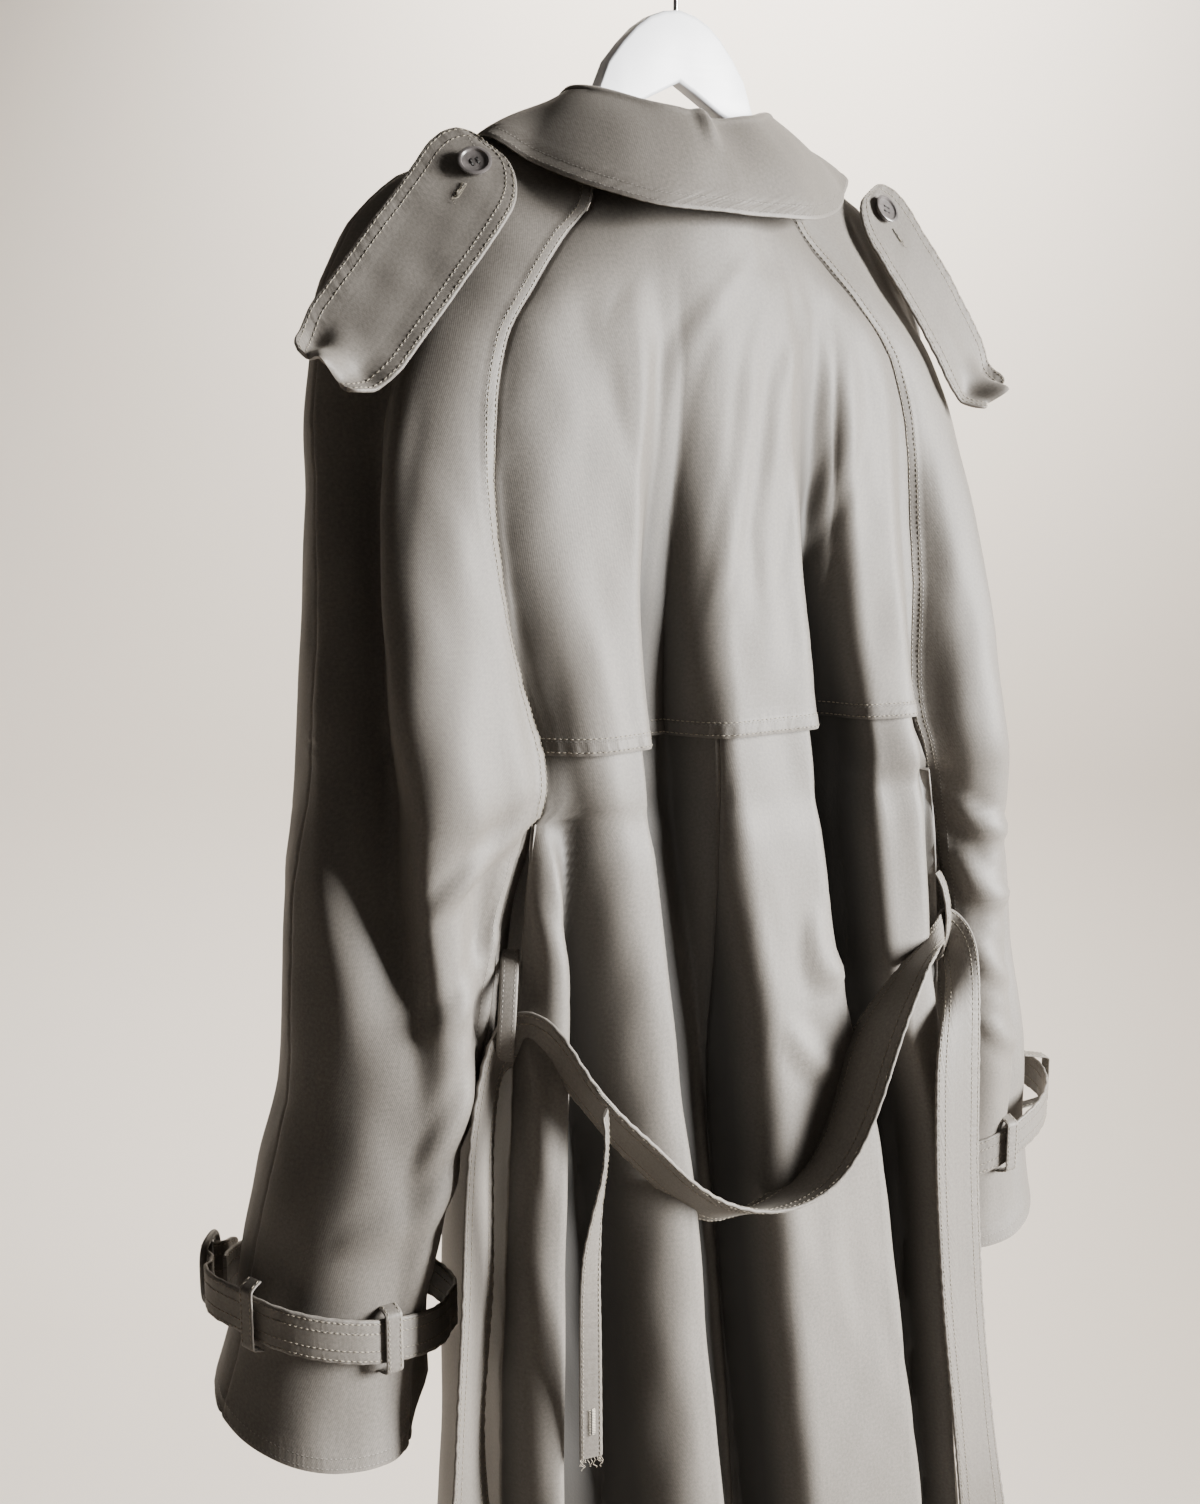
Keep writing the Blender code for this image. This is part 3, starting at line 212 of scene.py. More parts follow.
area_light("window", **WINDOW)
area_light("wall wash", **WASH)
sky = bpy.data.worlds.new("room")
sky.use_nodes = True
sky.node_tree.nodes["Background"].inputs["Color"].default_value = SKY_COLOUR
sky.node_tree.nodes["Background"].inputs["Strength"].default_value = SKY_STRENGTH
bpy.context.scene.world = sky

# %% [markdown]
# ## Curves through few points
# A coat is drafted from a few measures and smooth lines between them, and so is this one.
# `smooth` draws a curve through points without ever overshooting them, `look_up` reads a
# table at any height, and `step` and `bump` fade things in and out.

# %% Curves and tables
def smooth(xs, ys, x):
    """A smooth curve through points with rising xs, which never overshoots them."""
    xs = np.asarray(xs, float)
    ys = np.asarray(ys, float)
    x = np.clip(np.asarray(x, float), xs[0], xs[-1])
    gaps = np.diff(xs)
    slopes = np.diff(ys) / gaps
    tangents = np.zeros_like(ys)
    tangents[0] = slopes[0]
    tangents[-1] = slopes[-1]
    same_way = slopes[:-1] * slopes[1:] > 0
    total = np.where(same_way, slopes[:-1] + slopes[1:], 1.0)
    tangents[1:-1] = np.where(same_way, 2 * slopes[:-1] * slopes[1:] / total, 0.0)
    cell = np.clip(np.searchsorted(xs, x, side="right") - 1, 0, len(gaps) - 1)
    gap = gaps[cell]
    t = (x - xs[cell]) / gap
    return (ys[cell] * (1 + 2 * t) * (1 - t) ** 2 + ys[cell + 1] * t * t * (3 - 2 * t)
            + gap * tangents[cell] * t * (1 - t) ** 2 - gap * tangents[cell + 1] * t * t * (1 - t))


def look_up(table, column, z):
    """Value of a table's column at height z."""
    return smooth(-np.asarray(table["z"], float), table[column], -np.asarray(z, float))


def at_heights(heights, values, z):
    """Value at height z of a short row of values given at falling heights."""
    return smooth(-np.asarray(heights, float), values, -np.asarray(z, float))


def step(x):
    """0 below 0, 1 above 1, and smooth between."""
    x = np.clip(x, 0.0, 1.0)
    return x * x * (3 - 2 * x)


def bump(x):
    """1 at 0, falling smoothly to 0 at -1 and 1."""
    return np.where(np.abs(x) < 1, 0.5 + 0.5 * np.cos(math.pi * np.clip(x, -1, 1)), 0.0)


def quarter(x):
    """0 at 0 and 1 from 1 on, rising like a quarter of a circle."""
    return np.sqrt(1 - (1 - np.clip(x, 0, 1)) ** 2)


def arc(path):
    """Length along a path up to each of its points."""
    return np.r_[0, np.cumsum(np.linalg.norm(np.diff(path, axis=0), axis=1))]


def pick(path, where):
    """The path's points at the given lengths."""
    lengths = arc(path)
    return np.stack([np.interp(where, lengths, path[:, k]) for k in range(path.shape[1])], 1)


def even(path, cells):
    """The path's points at equal lengths."""
    return pick(path, np.linspace(0, arc(path)[-1], cells + 1))


def spline(points, count):
    """A smooth path through a few points, with its length as the parameter."""
    points = np.asarray(points, float)
    lengths = arc(points)
    where = np.linspace(0, lengths[-1], count)
    return np.stack([smooth(lengths, points[:, k], where) for k in range(points.shape[1])], 1)


print("a step half way:", float(step(0.5)))

# %% [markdown]
# ## The measures of the cloth
# These are the coat's own driving measures: where its seams run, how wide and deep each
# section is, and where the long folds hang. Most are the ones that the frame was built from,
# because a shell only fits a frame that it shares its measures with. The folds are finer here.

# %% Thicknesses and marks
CLOTH = 2.0             # wall of the coat's cloth with its lining
SEAM = 0.3              # gap between neighbouring pieces
LAYER = 0.6             # gap between a panel and what lies on it
SHIELD_HEM = -506.0     # free hem of the storm shield
UNDERARM = -548.0       # where the side seam and the sleeve seam start
HEM = -1310.0           # bottom of the coat
CUFF = -907.0           # row of the sleeves at the cuff's edge
SHIELD_FLARE = 3.5      # how far the shield's hem stands off the back
VENT_TOP = -890.0       # row at which the centre-back vent begins
FRONT_EDGE = 72.0       # the overlapping front reaches this far past the centre
UNDER_EDGE = 45.0       # the front below it reaches this far
LAPEL_TOP = -150.0      # roll line, from the neck ...
LAPEL_FOOT = -440.0     # ... to the first button
NECK_HALF = 58.0        # roll line's distance from the centre at the neck
UNDER_DEPTH = 7.5       # the lower front lies this far inside the upper one
PINCH = 10.0            # the front is drawn in by this much beside the underarm
SIDES = {"left": -1.0, "right": 1.0}

# %% The tables of the body and the sleeves
ARMHOLE = {
    "z":       [-150, -166, -185, -205, -232, -268, -310, -360, -410, -460, -506, -530, -541, -548],
    "back_x":  [71, 73, 79, 98, 121, 147, 158, 162, 161, 155, 149, 153, 157, 163],
    "back_y":  [-22, -28, -35, -39, -43, -48, -52, -54, -58, -66, -76, -80, -78, -74],
    "front_x": [72, 84, 96, 110, 126, 143, 151, 154, 151, 142, 127, 119, 134, 163],
    "front_y": [35, 42, 48, 54, 60, 67, 73, 75, 73, 64, 38, -6, -46, -74],
}

# Side seams, below the underarm.
SIDE = {
    "z": [-548, -600, -640, -700, -800, -900, -1000, -1150, -1310],
    "x": [163, 169, 173, 177, 182, 187, 190, 201, 216],
    "y": [-74, -76, -76, -76, -78, -80, -82, -86, -92],
}

# Centre of the back between its folds, how square the back is, how far the coat has slid
# sideways, how much further its seams lean that way, and how far the neck is scooped out.
BACK = {
    "z":      [-150, -166, -185, -205, -232, -268, -310, -360, -410, -460, -506, -548, -600, -680,
               -770, -842, -1000, -1150, -1310],
    "centre": [-57, -61, -66, -70, -73, -73, -70, -65, -58, -52, -48, -48, -51, -58,
               -65, -71, -87, -100, -112],
    "square": [2, 2, 2, 2, 2.1, 2.3, 2.6, 3, 3.5] + [4] * 10,
    "slide":  [-6, -7, -8, -10, -11, -10, -9, -8, -6, -3, 0, 1, 2, 3, 3, 3, 4, 5, 6],
    "lean":   [0] * 9 + [1, 3, 6, 5, 4, 3, 2, 0, 0, 0],
    "scoop":  [10, 5, 2] + [0] * 16,
}

# The back's folds, ridge by ridge: where each crest runs, the width of its flat top, the
# widths of its two slopes, and how far it stands out. Negative depths are valleys.
FOLD_HEIGHTS = [-300, -506, -660, -800, -950, -1310]
DEPTH_HEIGHTS = [-215, -340, -506, -600, -900, -1310]
BACK_FOLDS = [
    # crest_x at FOLD_HEIGHTS           flat top there            left right  depth at DEPTH_HEIGHTS
    ((-152, -152, -149, -155, -163, -190), (8, 10, 16, 18, 18, 18), 24, 16, (0, 0, 5, 28, 32, 34)),
    ((-70, -88, -78, -66, -60, -42), (42, 16, 10, 8, 10, 14), 48, 22, (0, 13, 40, 46, 50, 54)),
    ((42, 48, 58, 92, 104, 144), (48, 58, 54, 78, 84, 104), 30, 20, (0, 13, 40, 46, 50, 54)),
    ((74, 84, 92, 126, 136, 174), (0, 0, 0, 0, 0, 0), 15, 15, (0, -8, -27, -32, -30, -26)),
    ((130, 138, 146, 170, 180, 212), (26, 28, 28, 16, 12, 12), 13, 22, (0, 8, 24, 30, 34, 34)),
]

# Sections of the front, from the side seam round to the centre.
FRONT = {
    "z":       [-150, -166, -185, -205, -232, -268, -310, -360, -410, -460, -506, -530, -541, -548,
                -575, -620, -690, -780, -890, -1010, -1150, -1310],
    "tuck_x":  [68, 78, 88, 100, 114, 129, 138, 142, 140, 134, 123, 117, 115, 113,
                114, 126, 142, 160, 170, 176, 186, 198],
    "tuck_y":  [41, 48, 54, 61, 68, 76, 81, 84, 83, 76, 54, 24, 8, -8,
                -10, -12, -12, -12, -10, -8, -8, -10],
    "chest_x": [60, 66, 74, 84, 96, 106, 113, 116, 118, 118, 122, 124, 124, 125,
                130, 138, 143, 146, 147, 148, 158, 172],
    "chest_y": [48, 56, 63, 70, 77, 84, 89, 92, 92, 90, 84, 80, 79, 78,
                76, 74, 71, 70, 70, 71, 75, 82],
    "centre_y": [66, 71, 76, 80, 84, 88, 92, 95, 96, 96, 95, 94, 94, 94,
                 93, 93, 93, 93, 94, 95, 99, 106],
}

# Soft folds of the fronts: crest at the top and the hem, width, depth at the hem.
FRONT_FOLDS = [
    # crest_x top, hem   width  depth
    (112, 138, 30, 12),
    (30, 44, 34, 8),
]

# Sections of a sleeve: an oval round a centre, swept forward at its outer side. The part of
# each row that lies on the shoulder is lifted, and the rows near the cuff are tilted.
SLEEVE = {
    "z":     [-150, -166, -185, -205, -232, -268, -310, -360, -410, -460, -506, -530, -548, -572,
              -600, -640, -700, -760, -810, -846, -878, -907],
    "x":     [70, 77, 88, 106, 130, 158, 176, 186, 191, 193, 195, 198, 202, 208,
              214, 219, 226, 243, 253, 258, 263, 266],
    "y":     [8, 9, 10, 10, 11, 13, 14, 11, 7, 3, -1, -4, -5, -6,
              -8, -12, -13, -11, -8, -6, -5, -4],
    "half_width": [20, 66, 97, 102, 98, 79, 67, 60, 60, 63, 68, 72, 74, 74,
                   72, 71, 69, 66, 66, 66, 68, 72],
    "half_depth": [29, 35, 43, 48, 53, 60, 67, 75, 81, 86, 88, 86, 82, 76,
                   71, 69, 69, 70, 66, 62, 63, 67],
    "sweep": [0, 8, 18, 22, 20, 15, 10, 5] + [0] * 14,
    "lift":  [24, 13, 14, 12, 5] + [0] * 17,
    "tilt":  [0] * 18 + [3, 6, 14, 22],
}
TILT_TOWARDS = 75.0     # the cuff is highest at this angle from straight out, towards the front

# The large folds of the sleeves that the straps lie round: angle from straight out at the top
# and the bottom of the fold (the back is negative), angular half-width, height in or out, and
# the heights at which it starts and ends.
FRAME_FOLDS = {
    "left": [
        (-30, -86, 31, -24, -215, -900),
        (-66, -120, 28, 5, -260, -860),
        (62, 86, 28, -14, -330, -880),
        (-146, -146, 50, -18, -640, -1000),
    ],
    "right": [
        (-40, -70, 30, -18, -230, -900),
        (-76, -108, 28, 5, -300, -860),
        (58, 80, 28, -16, -320, -880),
    ],
}
FOLD_SWING = 1.3        # the folds turn round the sleeve mostly in their lower part

# The finer folds of the cloth itself: the angle of each crest at six heights, how far it
# reaches round the arm behind and in front of its crest, and its height there.
SLEEVE_MARKS = [-215, -300, -500, -690, -820, -907]
SLEEVE_FOLDS = {
    "left": [
        # angle at SLEEVE_MARKS             behind  before   height at SLEEVE_MARKS
        ((-30, -33, -42, -78, -104, -118), 18, 36, (0, -26, -36, -3, 0, 0)),
        ((-70, -70, -70, -70, -94, -108), 40, 70, (0, 0, 0, -3, -3, -2)),
        ((-56, -58, -66, -90, -106, -114), 34, 16, (0, 4, 6, 5, 4, 0)),
        ((-16, -18, -22, -38, -52, -60), 26, 26, (0, 2, 2, 0, 0, 0)),
        ((-92, -93, -95, -112, -130, -140), 14, 14, (0, 0, -2, -8, -6, 0)),
        ((-150, -150, -150, -148, -146, -146), 50, 50, (0, 0, 0, -9, -19, -18)),
        ((58, 62, 70, 78, 84, 86), 28, 28, (0, -6, -14, -14, -10, 0)),
    ],
    "right": [
        ((-34, -36, -44, -56, -66, -70), 22, 34, (0, -12, -22, -22, -12, 0)),
        ((-72, -74, -82, -96, -106, -108), 26, 26, (0, 5, 9, 8, 5, 0)),
        ((-112, -112, -116, -128, -136, -140), 16, 20, (0, -4, -10, -10, -6, 0)),
        ((56, 58, 66, 74, 80, 82), 28, 28, (0, -8, -16, -16, -10, 0)),
    ],
}

# Single creases: a path on the cloth as places across it from its back seam and down it from
# the hook, how wide the crease is there and how high.
SLEEVE_CREASES = {
    "left": [
        # path                          width  height
        ([(0, 540), (26, 556), (60, 590)], 10, 6.0),
        ([(2, 605), (26, 642), (60, 668)], 10, 3.2),
        ([(0, 665), (22, 705), (48, 745)], 11, 3.0),
        ([(6, 740), (40, 772), (84, 782)], 13, 3.5),
        ([(50, 300), (78, 380), (96, 470)], 10, 1.5),
    ],
    "right": [
        ([(4, 560), (40, 592), (84, 600)], 10, 4.5),
        ([(0, 600), (40, 642), (92, 650)], 11, 4.5),
        ([(0, 655), (34, 695), (74, 722)], 10, 3.5),
        ([(10, 730), (50, 760), (90, 765)], 10, 3.0),
    ],
}
BACK_CREASES = [
    ([(58, 235), (84, 275), (96, 335)], 12, 1.6),
    ([(128, 200), (116, 285), (122, 380)], 10, 1.4),
    ([(214, 215), (198, 300), (206, 420)], 11, 1.7),
    ([(252, 250), (276, 330), (270, 450)], 10, 1.6),
    ([(160, 240), (176, 330), (168, 430)], 9, 1.2),
    ([(6, 590), (26, 632), (30, 700)], 9, 3.0),
    ([(2, 660), (20, 705), (26, 770)], 8, 2.5),
    ([(300, 620), (322, 660), (352, 676)], 10, 3.5),
    ([(296, 690), (324, 722), (350, 735)], 9, 3.0),
]

# %% [markdown]
# ## Rows and columns
# Cloth is a grid: rows run round the body and columns run down it. Between the seams the
# points lie evenly, a few millimetres apart. Beside a seam or a hem they lie much closer,
# because that is where the needle puckers the cloth and the layers make steps.

# %% Where the grid's lines lie
BESIDE_SEAM = np.array([0, 0.8, 2.0, 3.6, 5.4, 7.2, 8.6, 10.0, 12.5, 16.0])
BACK_CELLS = 60         # cells between the close ones, across each half of the back
FRONT_CELLS = 26        # the same across each front
SLEEVE_CELLS = {"back": 40, "front": 24}        # and across each half of a sleeve
ROW_PITCH = 6.5         # height from one row to the next


def spaced(path, cells):
    """The path's points, close together beside both of its ends."""
    whole = arc(path)[-1]
    near = BESIDE_SEAM * min(1.0, whole / (5 * BESIDE_SEAM[-1]))
    middle = np.linspace(near[-1], whole - near[-1], cells + 1)[1:-1]
    return pick(path, np.r_[near, middle, whole - near[::-1]])


def rows_down(marks, close_above=()):
    """Heights from mark to mark, with close rows above the marks that end in a hem."""
    rows = [marks[0]]
    for top, bottom in zip(marks, marks[1:]):
        foot = bottom + BESIDE_SEAM[-1] if bottom in close_above else bottom
        count = max(1, round((top - foot) / ROW_PITCH))
        rows.extend(np.linspace(top, foot, count + 1)[1:])
        if bottom in close_above:
            rows.extend(bottom + BESIDE_SEAM[-2::-1])
    return np.array(rows)


UPPER = rows_down([-150, SHIELD_HEM, UNDERARM], (SHIELD_HEM,))
BODY_ROWS = np.r_[UPPER, rows_down([UNDERARM, VENT_TOP, HEM], (HEM,))[1:]]
SLEEVE_ROWS = np.r_[UPPER, rows_down([UNDERARM, CUFF], (CUFF,))[1:]]
ARM_ROWS = len(UPPER)
SHIELD_ROWS = int(np.argmin(np.abs(UPPER - SHIELD_HEM))) + 1
print("rows: body", len(BODY_ROWS), "sleeve", len(SLEEVE_ROWS), "shield", SHIELD_ROWS)

# %% [markdown]
# ## Sections of the body
# The back runs between the two raglan seams, and below the underarm between the side
# seams. Its long folds are ridges that start between the shoulder blades and deepen on
# their way down, because the coat is wider at the hem than at the shoulders.

# %% The back, row by row
SEAM_FILL = 8.0         # how far taut cloth stands out beside a raglan seam
SEAM_FILL_REACH = 55.0  # width of that strip
SEAM_FILL_TOP = -185.0  # it grows from this height down ...
SEAM_FILL_FOOT = -500.0     # ... and is gone at this one
# How far the centre seam is pulled aside: heights, places across.
SEAM_DRIFT = ((-400, -500, -700, -950, -1310), (0, -22, -20, -12, -12))


def slide(z):
    """How far a seam has slid sideways at height z."""
    return look_up(BACK, "slide", z) + look_up(BACK, "lean", z)


def columns_of(table, names, z):
    """Values of several columns of a table at height z."""
    return np.array([look_up(table, name, z) for name in names])


def seam_at(z, face):
    """The back's or front's edge at height z: raglan seam, or side seam below the underarm."""
    if z > UNDERARM:
        return columns_of(ARMHOLE, (f"{face}_x", f"{face}_y"), z)
    return columns_of(SIDE, ("x", "y"), z)


def seam_fill(away, z):
    """How far the shoulder's cloth stands out beside its raglan seam, where it hangs taut."""
    upper = step((SEAM_FILL_TOP - z) / 60) * step((z - SEAM_FILL_FOOT) / 90)
    return SEAM_FILL * bump(away / SEAM_FILL_REACH) * upper


def back_row(z):
    """The back's section at height z, from the left edge to the right one."""
    edge_x, edge_y = seam_at(z, "back")
    centre = look_up(BACK, "centre", z)
    across = np.linspace(-1, 1, 1601)
    x = across * edge_x
    y = centre + (edge_y - centre) * np.abs(across) ** look_up(BACK, "square", z)
    held = 1 - np.abs(across) ** 18
    for crest, flat, left, right, depth in BACK_FOLDS:
        away = x - at_heights(FOLD_HEIGHTS, crest, z)
        away = np.where(away < 0, np.minimum(away + at_heights(FOLD_HEIGHTS, flat, z), 0), away)
        out = at_heights(DEPTH_HEIGHTS, depth, z)
        rise = np.where(away < 0, 1 - np.clip(away / left, -1, 0) ** 2, bump(away / right))
        y = y - held * out * rise
    y = y - seam_fill(edge_x - np.abs(x), z)
    height = z - look_up(BACK, "scoop", z) * (1 - across ** 2)
    x = x + look_up(BACK, "slide", z) + look_up(BACK, "lean", z) * across ** 2
    path = np.stack([x, y, height], 1)
    seam_x = at_heights(*SEAM_DRIFT, z)
    half = int(np.argmin(np.abs(across * edge_x - seam_x)))
    return np.vstack([spaced(path[:half + 1], BACK_CELLS), spaced(path[half:], BACK_CELLS)[1:]])


back_face = np.array([back_row(z) for z in BODY_ROWS])
CENTRE = back_face.shape[1] // 2
print("back grid:", back_face.shape)

# %% [markdown]
# The fronts run from the side seams round the chest to their edges. Above the lapel's foot
# the edge is the roll line, where the front folds back on itself as the lapel.

# %% The fronts, row by row
def roll_x(z, reach):
    """Edge of a front at height z, on its own side of the centre above the lapel's foot."""
    down = (LAPEL_TOP - z) / (LAPEL_TOP - LAPEL_FOOT)
    return NECK_HALF - (NECK_HALF + reach) * np.clip(down, 0, 1)


def front_line(z, side, inside):
    """The whole line of a front at height z, drawn for the wearer's right."""
    drift = (side * slide(z), 0.0)
    chest = columns_of(FRONT, ("chest_x", "chest_y"), z)
    centre = np.array([0.0, look_up(FRONT, "centre_y", z)])
    beside = chest * (0.5, 0.25) + centre * 0.75
    seam = seam_at(z, "front") + drift
    tuck = columns_of(FRONT, ("tuck_x", "tuck_y"), z) + drift
    pinched = 0.55 * seam + 0.45 * tuck
    pinched[0] -= PINCH * step((-525 - z) / 20) * step((z + 800) / 160)
    guides = [seam, pinched, tuck, chest + drift, beside, centre, beside * (-1, 1), chest * (-1, 1)]
    path = spline(guides, 1200)
    for top, hem, width, depth in FRONT_FOLDS:
        crest = at_heights((-560, HEM), (top, hem), z)
        out = depth * step((-520 - z) / 500)
        path[:, 1] += out * bump((path[:, 0] - crest) / width)
    lap = step((100 - path[:, 0]) / 36) * step((-190 - z) / 70)
    path[:, 1] -= inside * lap
    return path


def front_row(z, side, reach, inside):
    """A front's row at height z, from its seam to its edge."""
    path = front_line(z, side, inside)
    last = np.argmax(path[:, 0] <= roll_x(z, reach))
    row = spaced(path[:last + 1], FRONT_CELLS)
    return np.c_[row, np.full(len(row), float(z))]


front_faces = {
    "left": np.array([front_row(z, -1.0, FRONT_EDGE, 0.0) for z in BODY_ROWS]),
    "right": np.array([front_row(z, 1.0, UNDER_EDGE, UNDER_DEPTH) for z in BODY_ROWS]),
}
print("front grid:", front_faces["left"].shape)

# %% [markdown]
# ## Sections of the sleeves
# A raglan sleeve reaches up to the collar, so its rows are open arcs from the back seam
# over the shoulder to the front seam, and become closed rings below the underarm. Its long
# folds wind round the arm on their way down.

# %% The sleeves, row by row
def sleeve_axis(z, side):
    """Centre of a sleeve's section at height z."""
    swung = side * slide(z) * step((-440 - z) / 100)
    return columns_of(SLEEVE, ("x", "y"), z) + (swung, 0.0)


def sleeve_ends(z, side):
    """Where a sleeve's row starts and ends, seen from the middle of its underarm row."""
    seam_z = max(z, UNDERARM)
    drift = (side * slide(seam_z), 0.0)
    return [seam_at(seam_z, face) + drift - sleeve_axis(seam_z, side) for face in ("back", "front")]


def turned_from(angle, crest):
    """Degrees from a crest round to each angle, by the shorter way."""
    return (np.degrees(angle) - crest + 180) % 360 - 180


def plain_folds(folds, z, angle):
    """How far the frame's own folds move a sleeve in or out."""
    total = np.zeros_like(angle)
    for top, bottom, width, out, z_top, z_bottom in folds:
        down = np.clip((z_top - z) / (z_top - z_bottom), 0, 1)
        crest = top + (bottom - top) * down ** FOLD_SWING
        grown = step((z_top - z) / 90) * step((z - z_bottom) / 90)
        total += out * grown * bump(turned_from(angle, crest) / width)
    return total


def fine_folds(folds, z, angle):
    """How far the cloth's finer folds do: each is steeper on one side than on the other."""
    total = np.zeros_like(angle)
    for angles, behind, before, heights in folds:
        away = turned_from(angle, at_heights(SLEEVE_MARKS, angles, z))
        total += at_heights(SLEEVE_MARKS, heights, z) * bump(away / np.where(away < 0, behind, before))
    return total


def sleeve_row(z, side, folds, folded=fine_folds):
    """A sleeve's row, from the back seam round the outside to the front seam."""
    centre = sleeve_axis(z, side)
    half = columns_of(SLEEVE, ("half_width", "half_depth"), z)
    hub_half = columns_of(SLEEVE, ("half_width", "half_depth"), max(z, UNDERARM))
    back, front = sleeve_ends(z, side)
    start = math.atan2(back[1], back[0])
    end = math.atan2(front[1], front[0])
    if end < 0:
        end += 2 * math.pi
    drawn_in = 1 - step((UNDERARM - z) / 60)
    rows = []
    for first, last, cells in ((start, 0.0, SLEEVE_CELLS["back"]), (0.0, end, SLEEVE_CELLS["front"])):
        angle = np.linspace(first, last, 700)
        radius = 1 / np.hypot(np.cos(angle) / half[0], np.sin(angle) / half[1])
        radius = radius + folded(folds, z, angle)
        for place, point in ((start, back), (end, front)):
            plain = 1 / math.hypot(math.cos(place) / hub_half[0], math.sin(place) / hub_half[1])
            near = (1 - np.clip(np.abs(angle - place) / math.radians(55), 0, 1)) ** 2
            radius = radius + (np.linalg.norm(point) - plain) * near * drawn_in
        outward = np.clip(np.cos(angle), 0, 1)
        x = centre[0] + radius * np.cos(angle)
        y = centre[1] + radius * np.sin(angle) + look_up(SLEEVE, "sweep", z) * outward ** 2
        if first == start:
            y = y - seam_fill(arc(np.stack([x, y], 1)), z)
        lean = np.cos(angle - math.radians(TILT_TOWARDS))
        height = z + look_up(SLEEVE, "lift", z) * outward ** 1.5 + look_up(SLEEVE, "tilt", z) * lean
        rows.append(spaced(np.stack([x, y, height], 1), cells))
    return np.vstack([rows[0], rows[1][1:]])


sleeve_faces = {
    name: np.array([sleeve_row(z, side, SLEEVE_FOLDS[name]) for z in SLEEVE_ROWS])
    for name, side in SIDES.items()
}
TOP_SEAM = SLEEVE_CELLS["back"] + 2 * len(BESIDE_SEAM) - 2
print("sleeve grid:", sleeve_faces["left"].shape)

# %% [markdown]
# ## Which way is out
# A wall of cloth needs to know which way it faces at each point. Where two pieces meet at a
# seam they share one direction, as the two boards of a picture frame share their mitre,
# except in a sharp valley, where each keeps its own.

# %% Directions out of the cloth
def unit(v):
    """Directions of length 1."""
    return v / np.maximum(np.linalg.norm(v, axis=-1, keepdims=True), 1e-9)


def normals(grid, ring=False):
    """Unit normals of a grid of points; ring says that its columns close on themselves."""
    along = np.gradient(grid, axis=0)
    across = np.gradient(grid, axis=1)
    if ring:
        seam = unit(grid[:, 1] - grid[:, 0]) + unit(grid[:, -1] - grid[:, -2])
        across[:, 0] = seam
        across[:, -1] = seam
    return unit(np.cross(across, along))


def mitre(first, second):
    """The direction in which two walls of thickness 1 meet at their seam."""
    total = first + second
    return 2 * total / np.maximum((total ** 2).sum(-1, keepdims=True), 1.0)


def seam_out(first, second, to_second):
    """Outward directions of two walls along their shared seam."""
    shared = mitre(first, second)
    facing = (first * second).sum(-1, keepdims=True)
    valley = (unit(to_second) * first).sum(-1, keepdims=True) > 0
    own = np.where(valley, np.clip((0.5 - facing) / 0.8, 0, 1), 0.0)
    return shared * (1 - own) + first * own, shared * (1 - own) + second * own


back_out = -normals(back_face)
front_out = {name: -normals(face) for name, face in front_faces.items()}
sleeve_out = {}
for name, face in sleeve_faces.items():
    out = -normals(face)
    closed = slice(ARM_ROWS - 1, None)
    out[closed] = -normals(face, ring=True)[closed]
    sleeve_out[name] = out

for name, side in SIDES.items():
    turned = (side, 1.0, 1.0)
    edge = 0 if side < 0 else -1
    arm = slice(0, ARM_ROWS - 1)
    body = slice(ARM_ROWS - 1, None)
    back_edge = back_out[:, edge] * turned
    front = front_faces[name]
    front_edge = front_out[name][:, 0].copy()
    into_front = front[:, 1] - front[:, 0]
    sleeve = sleeve_out[name]
    points = sleeve_faces[name]
    into_sleeve = points[:, 1] - points[:, 0]
    into_end = points[:, -2] - points[:, -1]
    back_arm, sleeve_start = seam_out(back_edge[arm], sleeve[arm, 0], into_sleeve[arm])
    front_arm, sleeve_end = seam_out(front_edge[arm], sleeve[arm, -1], into_end[arm])
    back_side, front_side = seam_out(back_edge[body], front_edge[body], into_front[body])
    back_out[arm, edge] = back_arm * turned
    back_out[body, edge] = back_side * turned
    front_out[name][arm, 0] = front_arm
    front_out[name][body, 0] = front_side
    sleeve[arm, 0] = sleeve_start
    sleeve[arm, -1] = sleeve_end
print("directions:", back_out.shape, sleeve_out["left"].shape)

# %% [markdown]
# ## Life in the cloth
# Between its long folds real twill is never still: it has faint hollows as long as a hand,
# narrow ripples, creases where it was folded or held, and puckers beside each row of
# stitching. Hollows and ripples are worked out from the place on the coat alone, so that
# neighbouring pieces move together and no seam opens.

# %% Hollows, creases and puckers
HOLLOW_HEIGHT = 1.1     # of the faint hollows, millimetres
RIPPLE_HEIGHT = 0.22    # of the narrow ripples that run down the cloth
PUCKER_HEIGHT = 0.38    # of the gathers beside a seam
PUCKER_PITCH = 9.0      # from one gather to the next
DITCH_DEPTH = 0.75      # how deep the seam itself lies
WELT = 0.5              # step made by the layers under a topstitched seam
WELT_WIDTH = 8.4        # how far those layers reach
FOLD_REACH = 12         # columns on either side among which a fold's ridge is looked for
# At this depth below the ridge the painted shade of a fold is full.
FOLD_DEEPEST = 32.0     # this far below the ridge hardly any light is left


def hollows(points):
    """Faint long waves in the cloth, at each point."""
    total = np.zeros(points.shape[:-1])
    for number in range(1, 10):
        heading = 2.399963 * number
        wave = 190.0 / number ** 0.75
        run = points[..., 0] * math.cos(heading) + points[..., 1] * math.sin(heading)
        rise = points[..., 2] * (0.32 + 0.22 * math.sin(1.7 * number))
        total = total + np.sin(2 * math.pi * (run + rise) / wave + 5.1 * number) / number ** 0.6
    return HOLLOW_HEIGHT * total / 2.2


